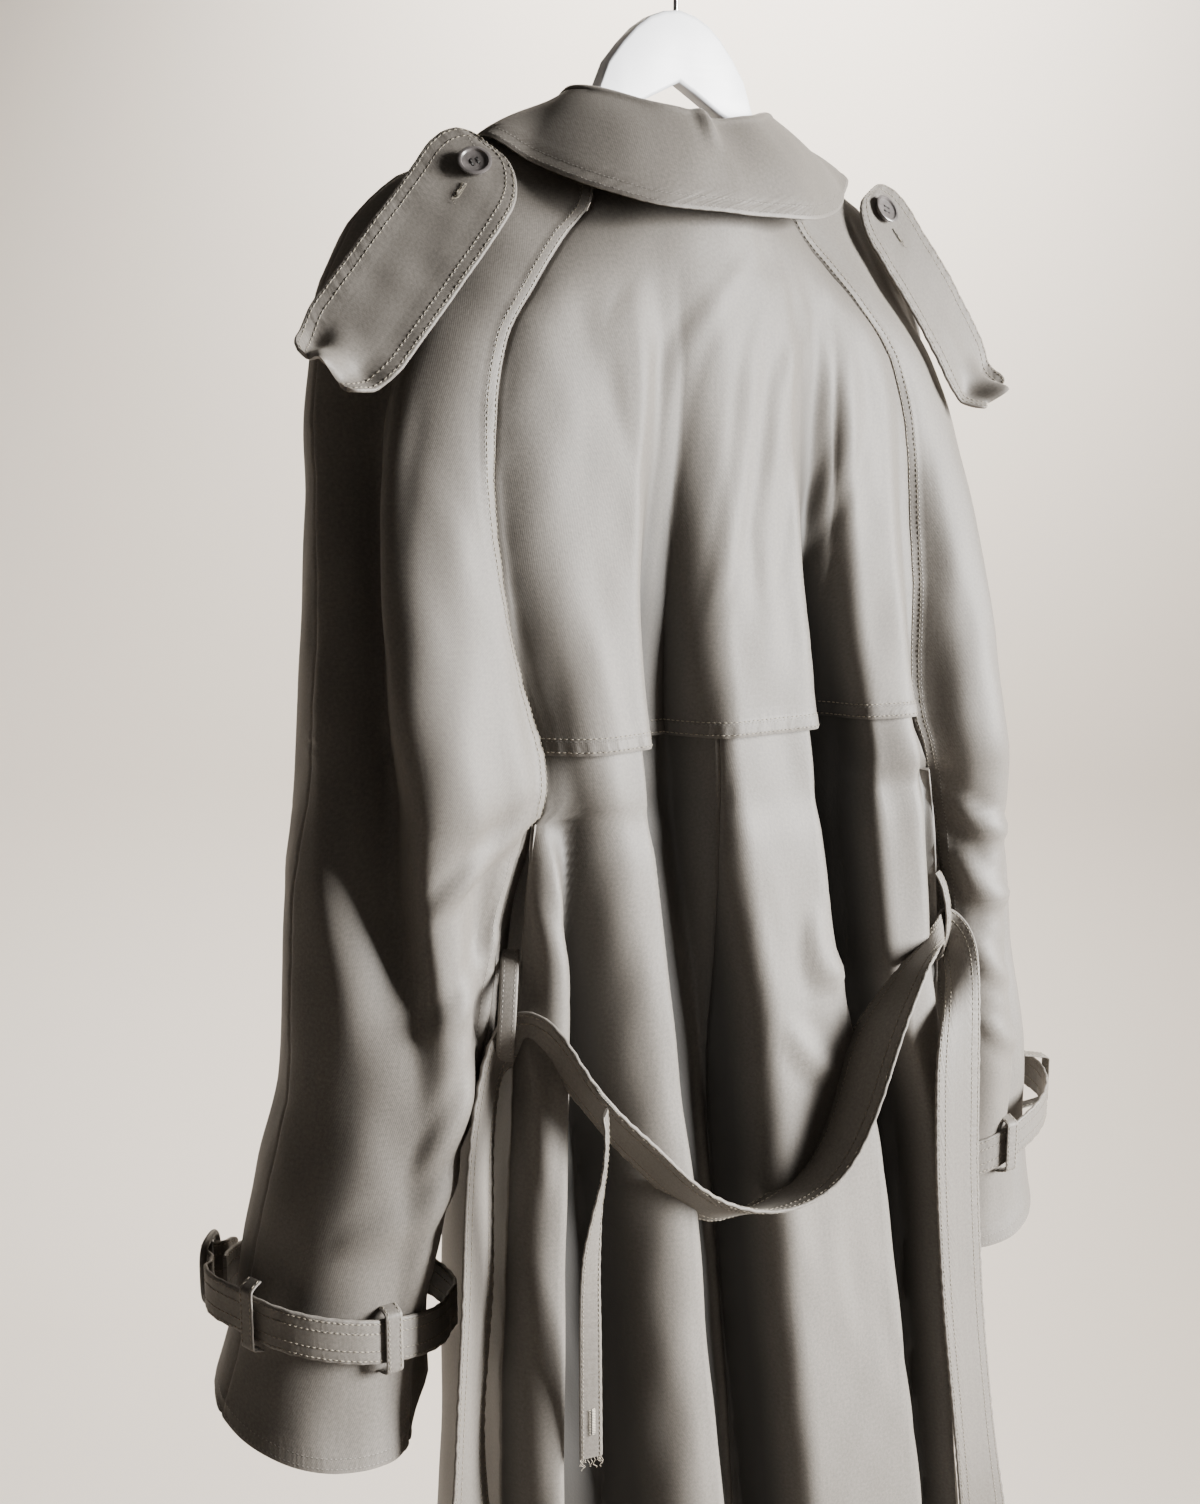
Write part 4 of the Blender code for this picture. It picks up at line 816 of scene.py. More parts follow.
def ripples(points):
    """Narrow ripples that come and go down the cloth."""
    total = np.zeros(points.shape[:-1])
    for number in range(1, 6):
        run = points[..., 0] + 0.6 * points[..., 1] + points[..., 2] * 0.11 * math.sin(2.3 * number)
        swell = np.sin(points[..., 2] / (31.0 + 9 * number) + 1.9 * number + run / (21.0 + 6 * number))
        wave = np.sin(2 * math.pi * run / (15.0 + 7.3 * number) + 2.7 * number)
        total = total + np.maximum(swell, 0) ** 2 * wave
    return RIPPLE_HEIGHT * total


def crease(across, down, path, width, height):
    """One crease along a path on the cloth: a crest with a hollow on either side.

    across and down are the places of the cloth's points, and the path is a few places
    on the same cloth. It is widest in its middle and dies away at both ends."""
    path = spline(path, 60)
    lengths = arc(path)
    spot = np.stack([across, down], -1)
    best = np.full(across.shape, 1e9)
    place = np.zeros(across.shape)
    for number in range(len(path) - 1):
        first = path[number]
        run = path[number + 1] - first
        share = np.clip(((spot - first) @ run) / (run @ run), 0, 1)
        away = np.linalg.norm(spot - first - share[..., None] * run, axis=-1)
        closer = away < best
        best = np.where(closer, away, best)
        place = np.where(closer, (lengths[number] + share * np.linalg.norm(run)) / lengths[-1], place)
    strength = np.sin(math.pi * np.clip(place, 0, 1)) ** 0.7
    local = width * (0.45 + 0.55 * strength)
    t = best / local
    shape = np.exp(-(np.abs(t) ** 1.65)) - 0.45 * np.exp(-((t - 1.45) / 0.62) ** 2)
    return height * strength * shape


def seam_relief(away, along, welt=0.0, depth=DITCH_DEPTH):
    """The ditch of a seam, the puckers beside it and the step of the layers under it."""
    ditch = -depth * np.exp(-(away / 1.3) ** 2)
    wander = along + 3.1 * np.sin(along / 23.0) + 1.7 * np.sin(along / 7.9 + 1.0)
    gathers = np.sin(2 * math.pi * wander / PUCKER_PITCH)
    pucker = PUCKER_HEIGHT * gathers * np.exp(-((away - 4.0) / 5.0) ** 2)
    layers = welt * (1 - step((away - WELT_WIDTH) / 1.6)) * (1 - np.exp(-(away / 0.9) ** 2))
    return ditch + pucker + layers


def widths(grid):
    """Length across the cloth from its first column to each point."""
    steps = np.linalg.norm(np.diff(grid, axis=1), axis=-1)
    return np.concatenate([np.zeros((len(grid), 1)), np.cumsum(steps, axis=1)], axis=1)


def painted_fold_shade(height):
    """How much painted shade a fold gets: 0 on the ridges, 1 far below the highest point nearby."""
    count = height.shape[1]
    padded = np.pad(height, ((0, 0), (FOLD_REACH, FOLD_REACH)), mode="edge")
    top = np.max([padded[:, first:first + count] for first in range(2 * FOLD_REACH + 1)], axis=0)
    return step((top - height) / FOLD_DEEPEST)


def lengths_down(grid):
    """Length down the cloth from its first row to each point."""
    steps = np.linalg.norm(np.diff(grid, axis=0), axis=-1)
    return np.concatenate([np.zeros((1, grid.shape[1])), np.cumsum(steps, axis=0)], axis=0)


print("hollow at the collar:", round(float(hollows(np.array([0.0, -60.0, -150.0]))), 2), "mm")

# %% [markdown]
# ## From grid to cloth
# A piece of cloth here is a closed wall. Its outer face is the grid, its inner face lies one
# thickness further in, and a rim joins them. Each point keeps its place on the flat cloth
# as a UV in metres, so the weave runs along the piece. A second UV holds its place beside
# the nearest sewn edge, and attributes say how worn it is, which also paints a highlight on
# its edges, and how deep in a fold it lies, where the twill paints shade.

# %% Make a piece of cloth
CLOTHS = {}


def sewing_map(whole, tall, sewn):
    """Place along the nearest sewn border and distance from it; sewn names the borders."""
    away = {"l": whole, "r": whole[:, -1:] - whole, "t": tall, "b": tall[-1:] - tall}
    best = np.full(whole.shape, 1000.0)
    along = np.zeros(whole.shape)
    for border in sewn:
        closer = away[border] < best
        along = np.where(closer, tall if border in "lr" else whole, along)
        best = np.where(closer, away[border], best)
    return np.stack([along.ravel(), best.ravel()], 1) * MM


def add_cloth(name, outer, inner, material, replaces, held="hung", rests_on=("hanger",), sewn="",
              deep=None):
    """A closed, quad-faced piece of cloth, dressed and entered in the list of sheets."""
    rows, columns = outer.shape[:2]
    count = rows * columns
    index = np.arange(count).reshape(rows, columns)
    a = index[:-1, :-1].ravel()
    b = index[:-1, 1:].ravel()
    c = index[1:, 1:].ravel()
    d = index[1:, :-1].ravel()
    skin = np.stack([a, b, c, d], 1)
    border = np.r_[index[0, :-1], index[:-1, -1], index[-1, :0:-1], index[:0:-1, 0]]
    after = np.roll(border, -1)
    rim = np.stack([after, border, border + count, after + count], 1)
    verts = np.vstack([outer.reshape(-1, 3), inner.reshape(-1, 3)])
    faces = np.vstack([skin, skin[:, ::-1] + count, rim])
    corners = verts[faces]
    volume = np.einsum("ij,ij->i", corners[:, 0], np.cross(corners[:, 1], corners[:, 2])).sum()
    volume += np.einsum("ij,ij->i", corners[:, 0], np.cross(corners[:, 2], corners[:, 3])).sum()
    if volume < 0:
        faces = faces[:, ::-1]
    mesh = bpy.data.meshes.new(name)
    mesh.from_pydata((verts * MM).tolist(), [], faces.tolist())
    whole = widths(outer)
    tall = lengths_down(outer)
    across = whole - whole[:, [columns // 2]]
    down = tall[:, [columns // 2]] + np.zeros_like(across)
    corner_verts = np.empty(len(mesh.loops), int)
    mesh.loops.foreach_get("vertex_index", corner_verts)
    flat = np.stack([across.ravel(), -down.ravel()], 1) * MM
    for layer_name, place in (("cloth", flat), ("sewing", sewing_map(whole, tall, sewn))):
        place = np.vstack([place, place])[corner_verts]
        mesh.uv_layers.new(name=layer_name).data.foreach_set("uv", place.ravel())
    # edge is 1 at a piece's borders, where the twill is painted paler, for wear and as a painted highlight.
    near = np.minimum(np.minimum(whole, whole[:, -1:] - whole), np.minimum(tall, tall[-1:] - tall))
    marks = {"edge": np.exp(-(near / 1.6) ** 2)}
    # deep says how far down in a fold a point lies; the twill paints shade there.
    if deep is not None:
        marks["deep"] = deep
    for mark, value in marks.items():
        both = np.r_[value.ravel(), value.ravel()].astype(np.float32)
        mesh.attributes.new(mark, "FLOAT", "POINT").data.foreach_set("value", both)
    mesh.shade_smooth()
    mesh.set_sharp_from_angle(angle=math.radians(55))
    mesh.materials.append(material)
    made = new_object(name, mesh)
    cells = np.cross(outer[1:, 1:] - outer[:-1, :-1], outer[1:, :-1] - outer[:-1, 1:])
    area = 0.5 * np.linalg.norm(cells, axis=-1).sum() * MM * MM
    CLOTHS[name] = {"piece": made, "flat": (whole[:, -1].max() * MM, tall[-1].max() * MM),
                    "area": area, "held": held, "rests_on": list(rests_on)}
    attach(made, "root")
    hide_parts(*replaces)


def layer(face, out, offset, thickness):
    """Outer and inner points of a wall whose outer face lies offset off the given face."""
    return face + out * offset, face + out * (offset - thickness)


def set_back(grid, columns):
    """The grid with the named columns moved inwards along the cloth by half a seam gap."""
    moved = grid.copy()
    for column in columns:
        inner = 1 if column == 0 else -2
        moved[:, column] += SEAM / 2 * unit(grid[:, inner] - grid[:, column])
    return moved


def side_of(grid, side):
    """A grid drawn for the wearer's right, put on its own side."""
    return grid * (side, 1.0, 1.0)


print("sheets so far:", len(CLOTHS))

# %% [markdown]
# ## Twill
# The coat is a fine cotton twill in warm olive grey. Close up its diagonal ribs are a
# millimetre apart, from a step away it is a soft satin, and it never has quite one colour:
# long faint streaks follow the yarn, and its worn edges are paler, which also paints a
# highlight on them. Deep in its folds the colour is darkened as painted shade, and the
# pressed rows of stitching are darkened as a painted shadow. The ribs are a wave texture on
# the cloth's own UV, turned to 63 degrees, and only a small bump.

# %% Node tools
def shade(colour, share, more=0.0):
    """A colour made darker or paler."""
    return tuple(c * share + more for c in colour)


class Mix:
    """A new material, and the node tools that all the finishes here are mixed with."""

    def __init__(self, name, roughness, metallic=0.0):
        self.material = bpy.data.materials.new(name)
        self.material.use_nodes = True
        self.nodes = self.material.node_tree.nodes
        self.link = self.material.node_tree.links.new
        self.shader = self.nodes["Principled BSDF"]
        self.set("Roughness", roughness)
        self.set("Metallic", metallic)

    def set(self, name, value):
        """A fixed value for an input of the shader."""
        self.shader.inputs[name].default_value = value

    def feed(self, name, value):
        """A worked-out value for an input of the shader."""
        self.link(value, self.shader.inputs[name])

    def node(self, kind, output, inputs=None, **settings):
        """An output of a new node; its inputs are fixed values or other nodes' outputs."""
        made = self.nodes.new(f"ShaderNode{kind}")
        for name, value in settings.items():
            setattr(made, name, value)
        for name, value in (inputs or {}).items():
            if isinstance(value, bpy.types.NodeSocket):
                self.link(value, made.inputs[name])
            else:
                made.inputs[name].default_value = value
        return made.outputs[output]

    def place(self):
        """The place on the piece, in metres."""
        return self.node("TexCoord", "Object")

    def noise(self, vector, scale, detail=4.0, rough=0.55):
        """Cloudy noise at a vector."""
        return self.node("TexNoise", "Fac", {"Vector": vector, "Scale": scale, "Detail": detail,
                                             "Roughness": rough})

    def mapped(self, vector, scale, turn=0.0):
        """A vector stretched, and turned by some degrees."""
        return self.node("Mapping", "Vector", {"Vector": vector, "Scale": scale,
                                               "Rotation": (0, 0, math.radians(turn))})

    def times(self, first, second):
        """Two values multiplied."""
        return self.node("Math", 0, {0: first, 1: second}, operation="MULTIPLY")

    def plus(self, first, second):
        """Two values added."""
        return self.node("Math", 0, {0: first, 1: second}, operation="ADD")

    def blend(self, amount, under, colour):
        """A colour laid over what is under it."""
        return self.node("Mix", "Result", {"Factor": amount, "A": under, "B": (*colour, 1.0)},
                         data_type="RGBA")

    def ramp(self, value, stops):
        """A colour ramp fed by a value; stops are (position, colour)."""
        colours = self.node("ValToRGB", "Color", {"Fac": value})
        band = colours.node.color_ramp
        while len(band.elements) < len(stops):
            band.elements.new(0.5)
        for element, (position, colour) in zip(band.elements, stops):
            element.position = position
            element.color = (*colour, 1.0)
        return colours

    def lift(self, heights):
        """Bump from several (height, strength, distance in metres), one on another."""
        below = {}
        for height, strength, distance in heights:
            bump_map = self.node("Bump", "Normal", {"Height": height, "Strength": strength,
                                                    "Distance": distance, **below})
            below = {"Normal": bump_map}
        self.feed("Normal", below["Normal"])


print("node tools:", [name for name in vars(Mix) if not name.startswith("_")])

# %% Mix the twill
COAT_COLOUR = (0.134, 0.121, 0.106)
# A darker copy of the coat's colour, painted shade for the vent's under-layer.
SHADED_TWILL_COLOUR = (0.07, 0.062, 0.054)
# Deep in a fold the twill's colour is darkened to this share of itself, as painted shade.
PAINTED_FOLD_SHADE = 0.16        # share of its colour that the twill keeps deep in a fold
RIB_TURN = 27.0         # of the wave that makes the ribs, degrees; they lie square to it
ROWS = (2.4, 8.6)       # a topstitched edge has two rows of stitching, this far in, mm
DASH_PITCH = 2.9        # from one painted stitch to the next, mm
SEWN_REACH = 20.0       # what shows beside an edge ends this far in, mm


def sewing(mix):
    """The pressed rows, the gathers and the stitches beside an edge, from the sewing map.

    The map holds the place along the seam and the distance from it, in metres."""
    place = mix.node("UVMap", "UV", uv_map="sewing")
    along, off = [mix.node("SeparateXYZ", axis, {0: place}) for axis in "XY"]
    away = mix.times(off, 1000 / SEWN_REACH)
    black, white = (0, 0, 0), (1, 1, 1)
    stops = []
    for row in ROWS:
        spot = row / SEWN_REACH
        stops += [(spot - 0.026, black), (spot - 0.008, white), (spot + 0.008, white), (spot + 0.026, black)]
    rows = mix.ramp(away, stops)
    band = mix.ramp(away, [(0, (0.4,) * 3), (0.08, white), (0.45, white), (0.9, black)])
    gathers = mix.times(mix.noise(mix.mapped(place, (170, 22, 1)), 1.0, 2.0), band)
    beat = mix.node("Math", 0, {0: mix.times(along, 2000 * math.pi / DASH_PITCH)}, operation="SINE")
    dashes = mix.node("Math", 0, {0: beat, 1: 0.25}, operation="GREATER_THAN")
    return rows, gathers, mix.times(rows, dashes)


def twill(name, colour, sheen=0.12, roughness=0.58):
    """Fine cotton twill with long streaks, a satin face, edges paler from wear and a painted highlight,
    painted shade in its folds and a painted shadow along its pressed rows.
    """
    mix = Mix(name, roughness)
    flat = mix.node("UVMap", "UV", uv_map="cloth")
    streaks = mix.noise(mix.mapped(flat, (420, 30, 1)), 1.0, 2.0)
    clouds = mix.noise(mix.place(), 7.0, 3.0)
    specks = mix.noise(flat, 480.0, 2.0, 0.7)
    tone = mix.plus(mix.times(streaks, 0.1), mix.times(clouds, 0.3))
    tone = mix.plus(tone, mix.times(specks, 0.6))
    base = mix.ramp(tone, [(0.36, shade(colour, 0.8)), (0.50, colour), (0.64, shade(colour, 1.2))])
    # Paler edges: wear, and a painted highlight where the edges catch the light.
    edge_wear_and_highlight = mix.times(mix.node("Attribute", "Fac", attribute_name="edge"), mix.times(specks, 0.6))
    base = mix.blend(edge_wear_and_highlight, base, shade(colour, 1.5, 0.01))
    rows, gathers, dashes = sewing(mix)
    # Painted shadow: the pressed rows of stitching are darkened in the colour, besides their bump.
    base = mix.blend(mix.times(rows, 0.55), base, shade(colour, 0.55))
    base = mix.blend(dashes, base, shade(colour, 1.35))
    # Painted shade: deep in a fold the colour is darkened to a small share of itself.
    deep = mix.node("Attribute", "Fac", attribute_name="deep")
    mix.feed("Base Color", mix.blend(deep, base, shade(colour, PAINTED_FOLD_SHADE)))
    ribs = mix.node("TexWave", "Fac", {"Vector": mix.mapped(flat, (1, 1, 1), RIB_TURN), "Scale": 320.0,
                                       "Distortion": 0.9, "Detail": 1.0, "Detail Scale": 1.6},
                    bands_direction="X")
    mix.lift([(streaks, 0.08, 0.0004), (specks, 0.25, 0.0003), (ribs, 0.12, 0.00025),
              (gathers, 0.4, 0.0012), (rows, -0.7, 0.0006), (dashes, 0.6, 0.0005)])
    mix.feed("Roughness", mix.plus(mix.times(clouds, 0.10), roughness - 0.05))
    mix.set("Specular IOR Level", 0.42)
    mix.set("Sheen Weight", sheen)
    mix.set("Sheen Roughness", 0.42)
    mix.set("Sheen Tint", (0.86, 0.80, 0.70, 1.0))
    return mix.material


TWILL = twill("coat_twill", COAT_COLOUR)
# The darker copy is painted shade, for the vent's under-layer that lies under the right back.
SHADED_TWILL = twill("twill_underside", SHADED_TWILL_COLOUR, 0.05, 0.72)
print("materials:", TWILL.name, SHADED_TWILL.name)

# %% [markdown]
# ## The back, the shield, the fronts and the sleeves
# Now the pieces are cut. The back is two panels with a seam down the middle; the storm
# shield is one piece that lies over them down to its free hem; each sleeve is two halves.
# The relief of the cloth is added to how far each piece lies off the plain section.

# %% Relief of the back
def back_relief():
    """How far each point of the back stands off its plain section."""
    across = widths(back_face)
    whole = across[:, -1:]
    along = -BODY_ROWS[:, None] + np.zeros_like(across)
    relief = hollows(back_face) + ripples(back_face)
    for path, width, height in BACK_CREASES:
        relief += crease(across, along, path, width, height)
    for away in (across, whole - across):
        relief += seam_relief(away, along)
    return relief


back_lift = back_relief()
print("back relief:", round(float(back_lift.min()), 1), "to", round(float(back_lift.max()), 1), "mm")

# %% Cut the back and the shield
SHIELD_LOOSE = -330.0   # below this height the shield hangs free
COMES_OUT = 27.0        # height over which the back comes out from under it


def cut_cloth(name, face, out, offset, columns, replaces, sewn="b", deep=None):
    """A wall on a part of a face, set back from its seams."""
    outer, inner = layer(face, out, offset[..., None], CLOTH)
    add_cloth(name, set_back(outer, columns), set_back(inner, columns), TWILL, replaces,
              sewn=sewn, deep=deep)


below = -(CLOTH + LAYER) * step((BODY_ROWS - UNDERARM + COMES_OUT) / COMES_OUT)[:, None]
from_centre = np.abs(widths(back_face) - widths(back_face)[:, [CENTRE]])
centre_seam = seam_relief(from_centre, -BODY_ROWS[:, None] + np.zeros_like(from_centre))
back_offset = back_lift + below + centre_seam
# How deep each point of the back lies in its folds, for the painted shade there.
back_fold_shade = painted_fold_shade(-back_face[..., 1])
for name, part in (("left", slice(0, CENTRE + 1)), ("right", slice(CENTRE, None))):
    cut_cloth(f"back_panel_{name}", back_face[:, part], back_out[:, part], back_offset[:, part], (0, -1),
              [f"back_{name}"], deep=back_fold_shade[:, part])

shield = slice(0, SHIELD_ROWS)
flare = SHIELD_FLARE * step((SHIELD_LOOSE - UPPER[shield]) / (SHIELD_LOOSE - SHIELD_HEM))
spread = 1 - np.abs(np.linspace(-1, 1, back_face.shape[1])) ** 6
to_hem = lengths_down(back_face[shield])[-1:] - lengths_down(back_face[shield])
hem_band = seam_relief(to_hem, widths(back_face[shield]), WELT, 0.0)
shield_offset = back_lift[shield] + flare[:, None] * spread + hem_band
cut_cloth("storm_shield_cloth", back_face[shield], back_out[shield], shield_offset, (0, -1),
          ["storm_shield"], deep=back_fold_shade[shield])
print("back pieces:", list(CLOTHS))

# %% Cut the fronts and the sleeves
def front_relief(face):
    """How far each point of a front stands off its plain section."""
    across = widths(face)
    along = -BODY_ROWS[:, None] + np.zeros_like(across)
    edge = 0.6 * seam_relief(across[:, -1:] - across, along, WELT)
    return hollows(face) + seam_relief(across, along) + edge


def sleeve_relief(name, face):
    """How far each point of a sleeve does."""
    across = widths(face)
    along = -SLEEVE_ROWS[:, None] + np.zeros_like(across)
    relief = hollows(face) + ripples(face)
    for path, width, height in SLEEVE_CREASES[name]:
        relief += crease(across, along, path, width, height)
    relief += seam_relief(across, along, WELT)
    relief += seam_relief(across[:, -1:] - across, along, WELT)
    relief += seam_relief(np.abs(across - across[:, [TOP_SEAM]]), along)
    return relief


front_lift = {}
sleeve_lift = {}
for name, side in SIDES.items():
    placed = side_of(front_faces[name], side)
    front_lift[name] = front_relief(placed)
    cut_cloth(f"front_panel_{name}", placed, side_of(front_out[name], side), front_lift[name], (0,),
              [f"front_{name}"], "rb")
    face = side_of(sleeve_faces[name], side)
    out = side_of(sleeve_out[name], side)
    sleeve_lift[name] = sleeve_relief(name, face)
    for half, part in (("back", slice(0, TOP_SEAM + 1)), ("front", slice(TOP_SEAM, None))):
        cut_cloth(f"sleeve_{name}_{half}_cloth", face[:, part], out[:, part], sleeve_lift[name][:, part],
                  (0, -1), [f"sleeve_{name}_{half}"], "lb" if half == "back" else "rb")
print("pieces of cloth:", len(CLOTHS))

# %% [markdown]
# The centre-back vent is the slit that lets the wearer stride. Its under-layer belongs to
# the left back and shows as a dark edge where the right back hangs free of it; its darker
# twill is painted shade.

# %% The vent's under-layer
VENT_REACH = 42.0       # width of the under-layer
VENT_CLOTH = 1.4
vent_rows = slice(int(np.argmin(np.abs(BODY_ROWS - VENT_TOP))), None)
reach = int(np.argmax(from_centre[vent_rows.start, CENTRE:] > VENT_REACH))
vent_columns = slice(CENTRE, CENTRE + reach)
vent_offset = back_offset[vent_rows, vent_columns] - (CLOTH + LAYER)
outer, inner = layer(back_face[vent_rows, vent_columns], back_out[vent_rows, vent_columns],
                     vent_offset[..., None], VENT_CLOTH)
add_cloth("vent_under_layer", outer, inner, SHADED_TWILL, ["vent_lap"], sewn="rb")
print("vent:", outer.shape)

# %% [markdown]
# ## The lapels
# Each front folds back on itself along the roll line, so what shows on the chest is its
# inner side. The turned part is measured back along the front from that line, row by row,
# and stands off a little more towards its outer edge, as pressed cloth does.

# %% Fold the lapels
LAPEL_CLOTH = 1.6       # its thickness
LAPEL_HEIGHTS = [-196, -240, -262, -425]        # from its top over its tip to its foot
LAPEL_WIDTHS = [40, 92, 84, 10]         # how far it reaches from the roll line there
LAPEL_STAND = 2.4       # how far its outer edge stands off the front
lapel_share = np.r_[0, 0.02, 0.06, np.linspace(0.12, 0.84, 10), 0.90, 0.94, 0.97, 0.99, 1.0]

for name, side in SIDES.items():
    turned_back = []
    for z in np.linspace(LAPEL_HEIGHTS[0], LAPEL_HEIGHTS[-1], 46):
        reach_past = FRONT_EDGE if side < 0 else UNDER_EDGE
        line = front_row(z, side, reach_past, 0.0 if side < 0 else UNDER_DEPTH)[::-1]
        width = at_heights(LAPEL_HEIGHTS, LAPEL_WIDTHS, z)
        turned_back.append(pick(line, 0.5 + width * lapel_share))
    turned_back = np.array(turned_back)
    away = normals(turned_back)
    rise = 2 * LAYER + LAPEL_STAND * lapel_share[None, :, None] + 1.2
    rise = rise + 0.8 * np.sin(math.pi * lapel_share)[None, :, None]
    add_cloth(f"lapel_{name}_cloth", side_of(turned_back + away * (rise + LAPEL_CLOTH), side),
              side_of(turned_back + away * rise, side), TWILL, [f"lapel_{name}"], "folded",
              [f"front_panel_{name}"])
print("lapels:", turned_back.shape)

# %% [markdown]
# ## The collar
# The collar rises from the neck seam inside the coat, turns over along its fold and falls
# to its free edge. The fold is a small tight roll; the fall bulges a little, because the
# stitched edge is shorter than the cloth, and the topstitching puckers it.

# %% Turn the collar
COLLAR = {
    "fold_x": [0, 30, 56, 75, 75, 66, 57],
    "fold_y": [-47, -42, -24, 2, 24, 41, 50],
    "fold_z": [-131, -127, -118, -113, -121, -136, -148],
    "fold_slide": [-8, -7, -5, -2, 0, 0, 0],
    "edge_x": [0, 48, 87, 121, 142, 141, 98],
    "edge_y": [-84, -80, -58, -24, 6, 56, 92],
    "edge_z": [-191, -190, -181, -163, -145, -163, -236],
    "edge_slide": [-11, -9, -5, 0, 4, 2, 0],
}
COLLAR_CLOTH = 1.8
COLLAR_ROLL = 3.2       # radius of its fold
COLLAR_HALF = 76        # cells along each half
COLLAR_PINCH = 5.0      # the small pinch in the fold, left of the centre


def collar_grid():
    """The collar's visible face, from the neck seam inside, over the fold, to the free edge."""
    stations = np.linspace(0, 1, len(COLLAR["fold_x"]))
    where = np.linspace(0, 1, COLLAR_HALF + 1)
    fold = np.stack([smooth(stations, COLLAR[f"fold_{k}"], where) for k in "xyz"], 1)
    edge = np.stack([smooth(stations, COLLAR[f"edge_{k}"], where) for k in "xyz"], 1)
    grids = {}
    for name, side in SIDES.items():
        neck = [back_face[0, CENTRE::int(side)] * (side, 1, 1),
                sleeve_faces[name][0, 1:],
                front_faces[name][0, 1:]]
        seam = even(np.vstack(neck), COLLAR_HALF)
        top = fold + side * smooth(stations, COLLAR["fold_slide"], where)[:, None] * (1, 0, 0)
        free = edge + side * smooth(stations, COLLAR["edge_slide"], where)[:, None] * (1, 0, 0)
        outward = unit((free - top) * (1, 1, 0))
        base = seam + (0, 0, 1.4) - outward * 1.6
        rows = []
        for part in np.linspace(0, 0.9, 6):
            rows.append(base + (top - outward * COLLAR_ROLL - (0, 0, COLLAR_ROLL) - base) * part)
        for turn in np.linspace(180, 10, 10):
            angle = math.radians(turn)
            rise = (0, 0, COLLAR_ROLL * (math.sin(angle) - 1))
            rows.append(top + outward * COLLAR_ROLL * math.cos(angle) + rise)
        start = rows[-1]
        fall = np.linalg.norm(free - start, axis=1).max()
        close = 1 - BESIDE_SEAM[::-1] / fall
        for part in np.r_[np.linspace(0, close[0], 14)[1:-1], close]:
            crown = (outward * 0.6 + (0, 0, 1.0)) * 4.0 * math.sin(math.pi * part)
            rows.append(start + (free - start) * part + crown)
        grids[name] = side_of(np.array(rows), side)
    return np.concatenate([grids["left"][:, ::-1], grids["right"][:, 1:]], axis=1)


collar = collar_grid()
collar_out = normals(collar)
along_collar = widths(collar)
to_edge = lengths_down(collar)[-1:] - lengths_down(collar)
edge_band = seam_relief(to_edge, along_collar, 0.35, 0.0)
from_pinch = along_collar - along_collar[:, [COLLAR_HALF]] + 8
pinch = COLLAR_PINCH * bump(from_pinch / 9.0) * np.exp(-((to_edge - 62) / 14) ** 2)
pull = 1.1 * np.sin(from_pinch / 9.0) * np.exp(-(from_pinch / 60) ** 2) * step((to_edge - 8) / 30)
collar = collar + collar_out * (hollows(collar) * 0.8 + edge_band - pinch + pull)[..., None]
thin = COLLAR_CLOTH * (1 - 0.55 * np.exp(-(to_edge / 1.1) ** 2))
add_cloth("collar_cloth", collar, collar - collar_out * thin[..., None], TWILL, ["collar"],
          "folded", sewn="blr")
print("collar:", collar.shape)

# %% [markdown]
# ## Bands of doubled cloth
# The belt, the straps, the loops and the tab are all the same thing: a strip of twill folded
# over a stiff core and stitched flat near its edges. So they are made by one function, from
# two edge lines. Their thickness falls away at the edges, which rounds them, and the rows
# of stitching press shallow channels into them.

# %% Make a band
def band_places(width, cells):
    """Places across a band, closer together near its edges, as shares of its width."""
    near = np.array([0, 0.5, 1.2, 2.2, 3.4])
    middle = np.linspace(3.4, width - 3.4, cells + 1)[1:-1]
    return np.r_[near, middle, width - near[::-1]] / width


def add_band(name, first, second, thickness, replaces, rows, ripple, cells):
    """A stitched band between two edge lines; rows are the stitching's distances from its edges."""
    width = float(np.median(np.linalg.norm(second - first, axis=1)))
    part = band_places(width, cells)
    grid = first[:, None] * (1 - part)[None, :, None] + second[:, None] * part[None, :, None]
    out = normals(grid)
    run = lengths_down(grid)
    from_edge = np.minimum(part, 1 - part)[None, :] * width
    pucker = ripple * np.sin(2 * math.pi * (run + 2.3 * np.sin(run / 17.0)) / 11.0) * np.exp(-from_edge / 5)
    pressed = sum(np.exp(-((from_edge - row) / 0.8) ** 2) for row in rows)
    grid = grid + out * pucker[..., None]
    rounded = quarter(from_edge / 1.6) * 0.72 + 0.28
    half = (thickness / 2 * rounded - 0.16 * pressed)[..., None]
    outer = grid + out * half
    inner = grid - out * half
    add_cloth(name, outer, inner, TWILL, replaces, sewn="lr")
    CLOTHS[name].update(outer=outer, inner=inner, out=out, part=part, width=width)


print("places across a belt:", np.round(band_places(45.0, 14), 2))

# %% [markdown]
# The belt hangs in its two loops. Between them it falls in a deep bow across the back and
# turns flat side up on its way; beyond them both ends drop along the sides of the coat.

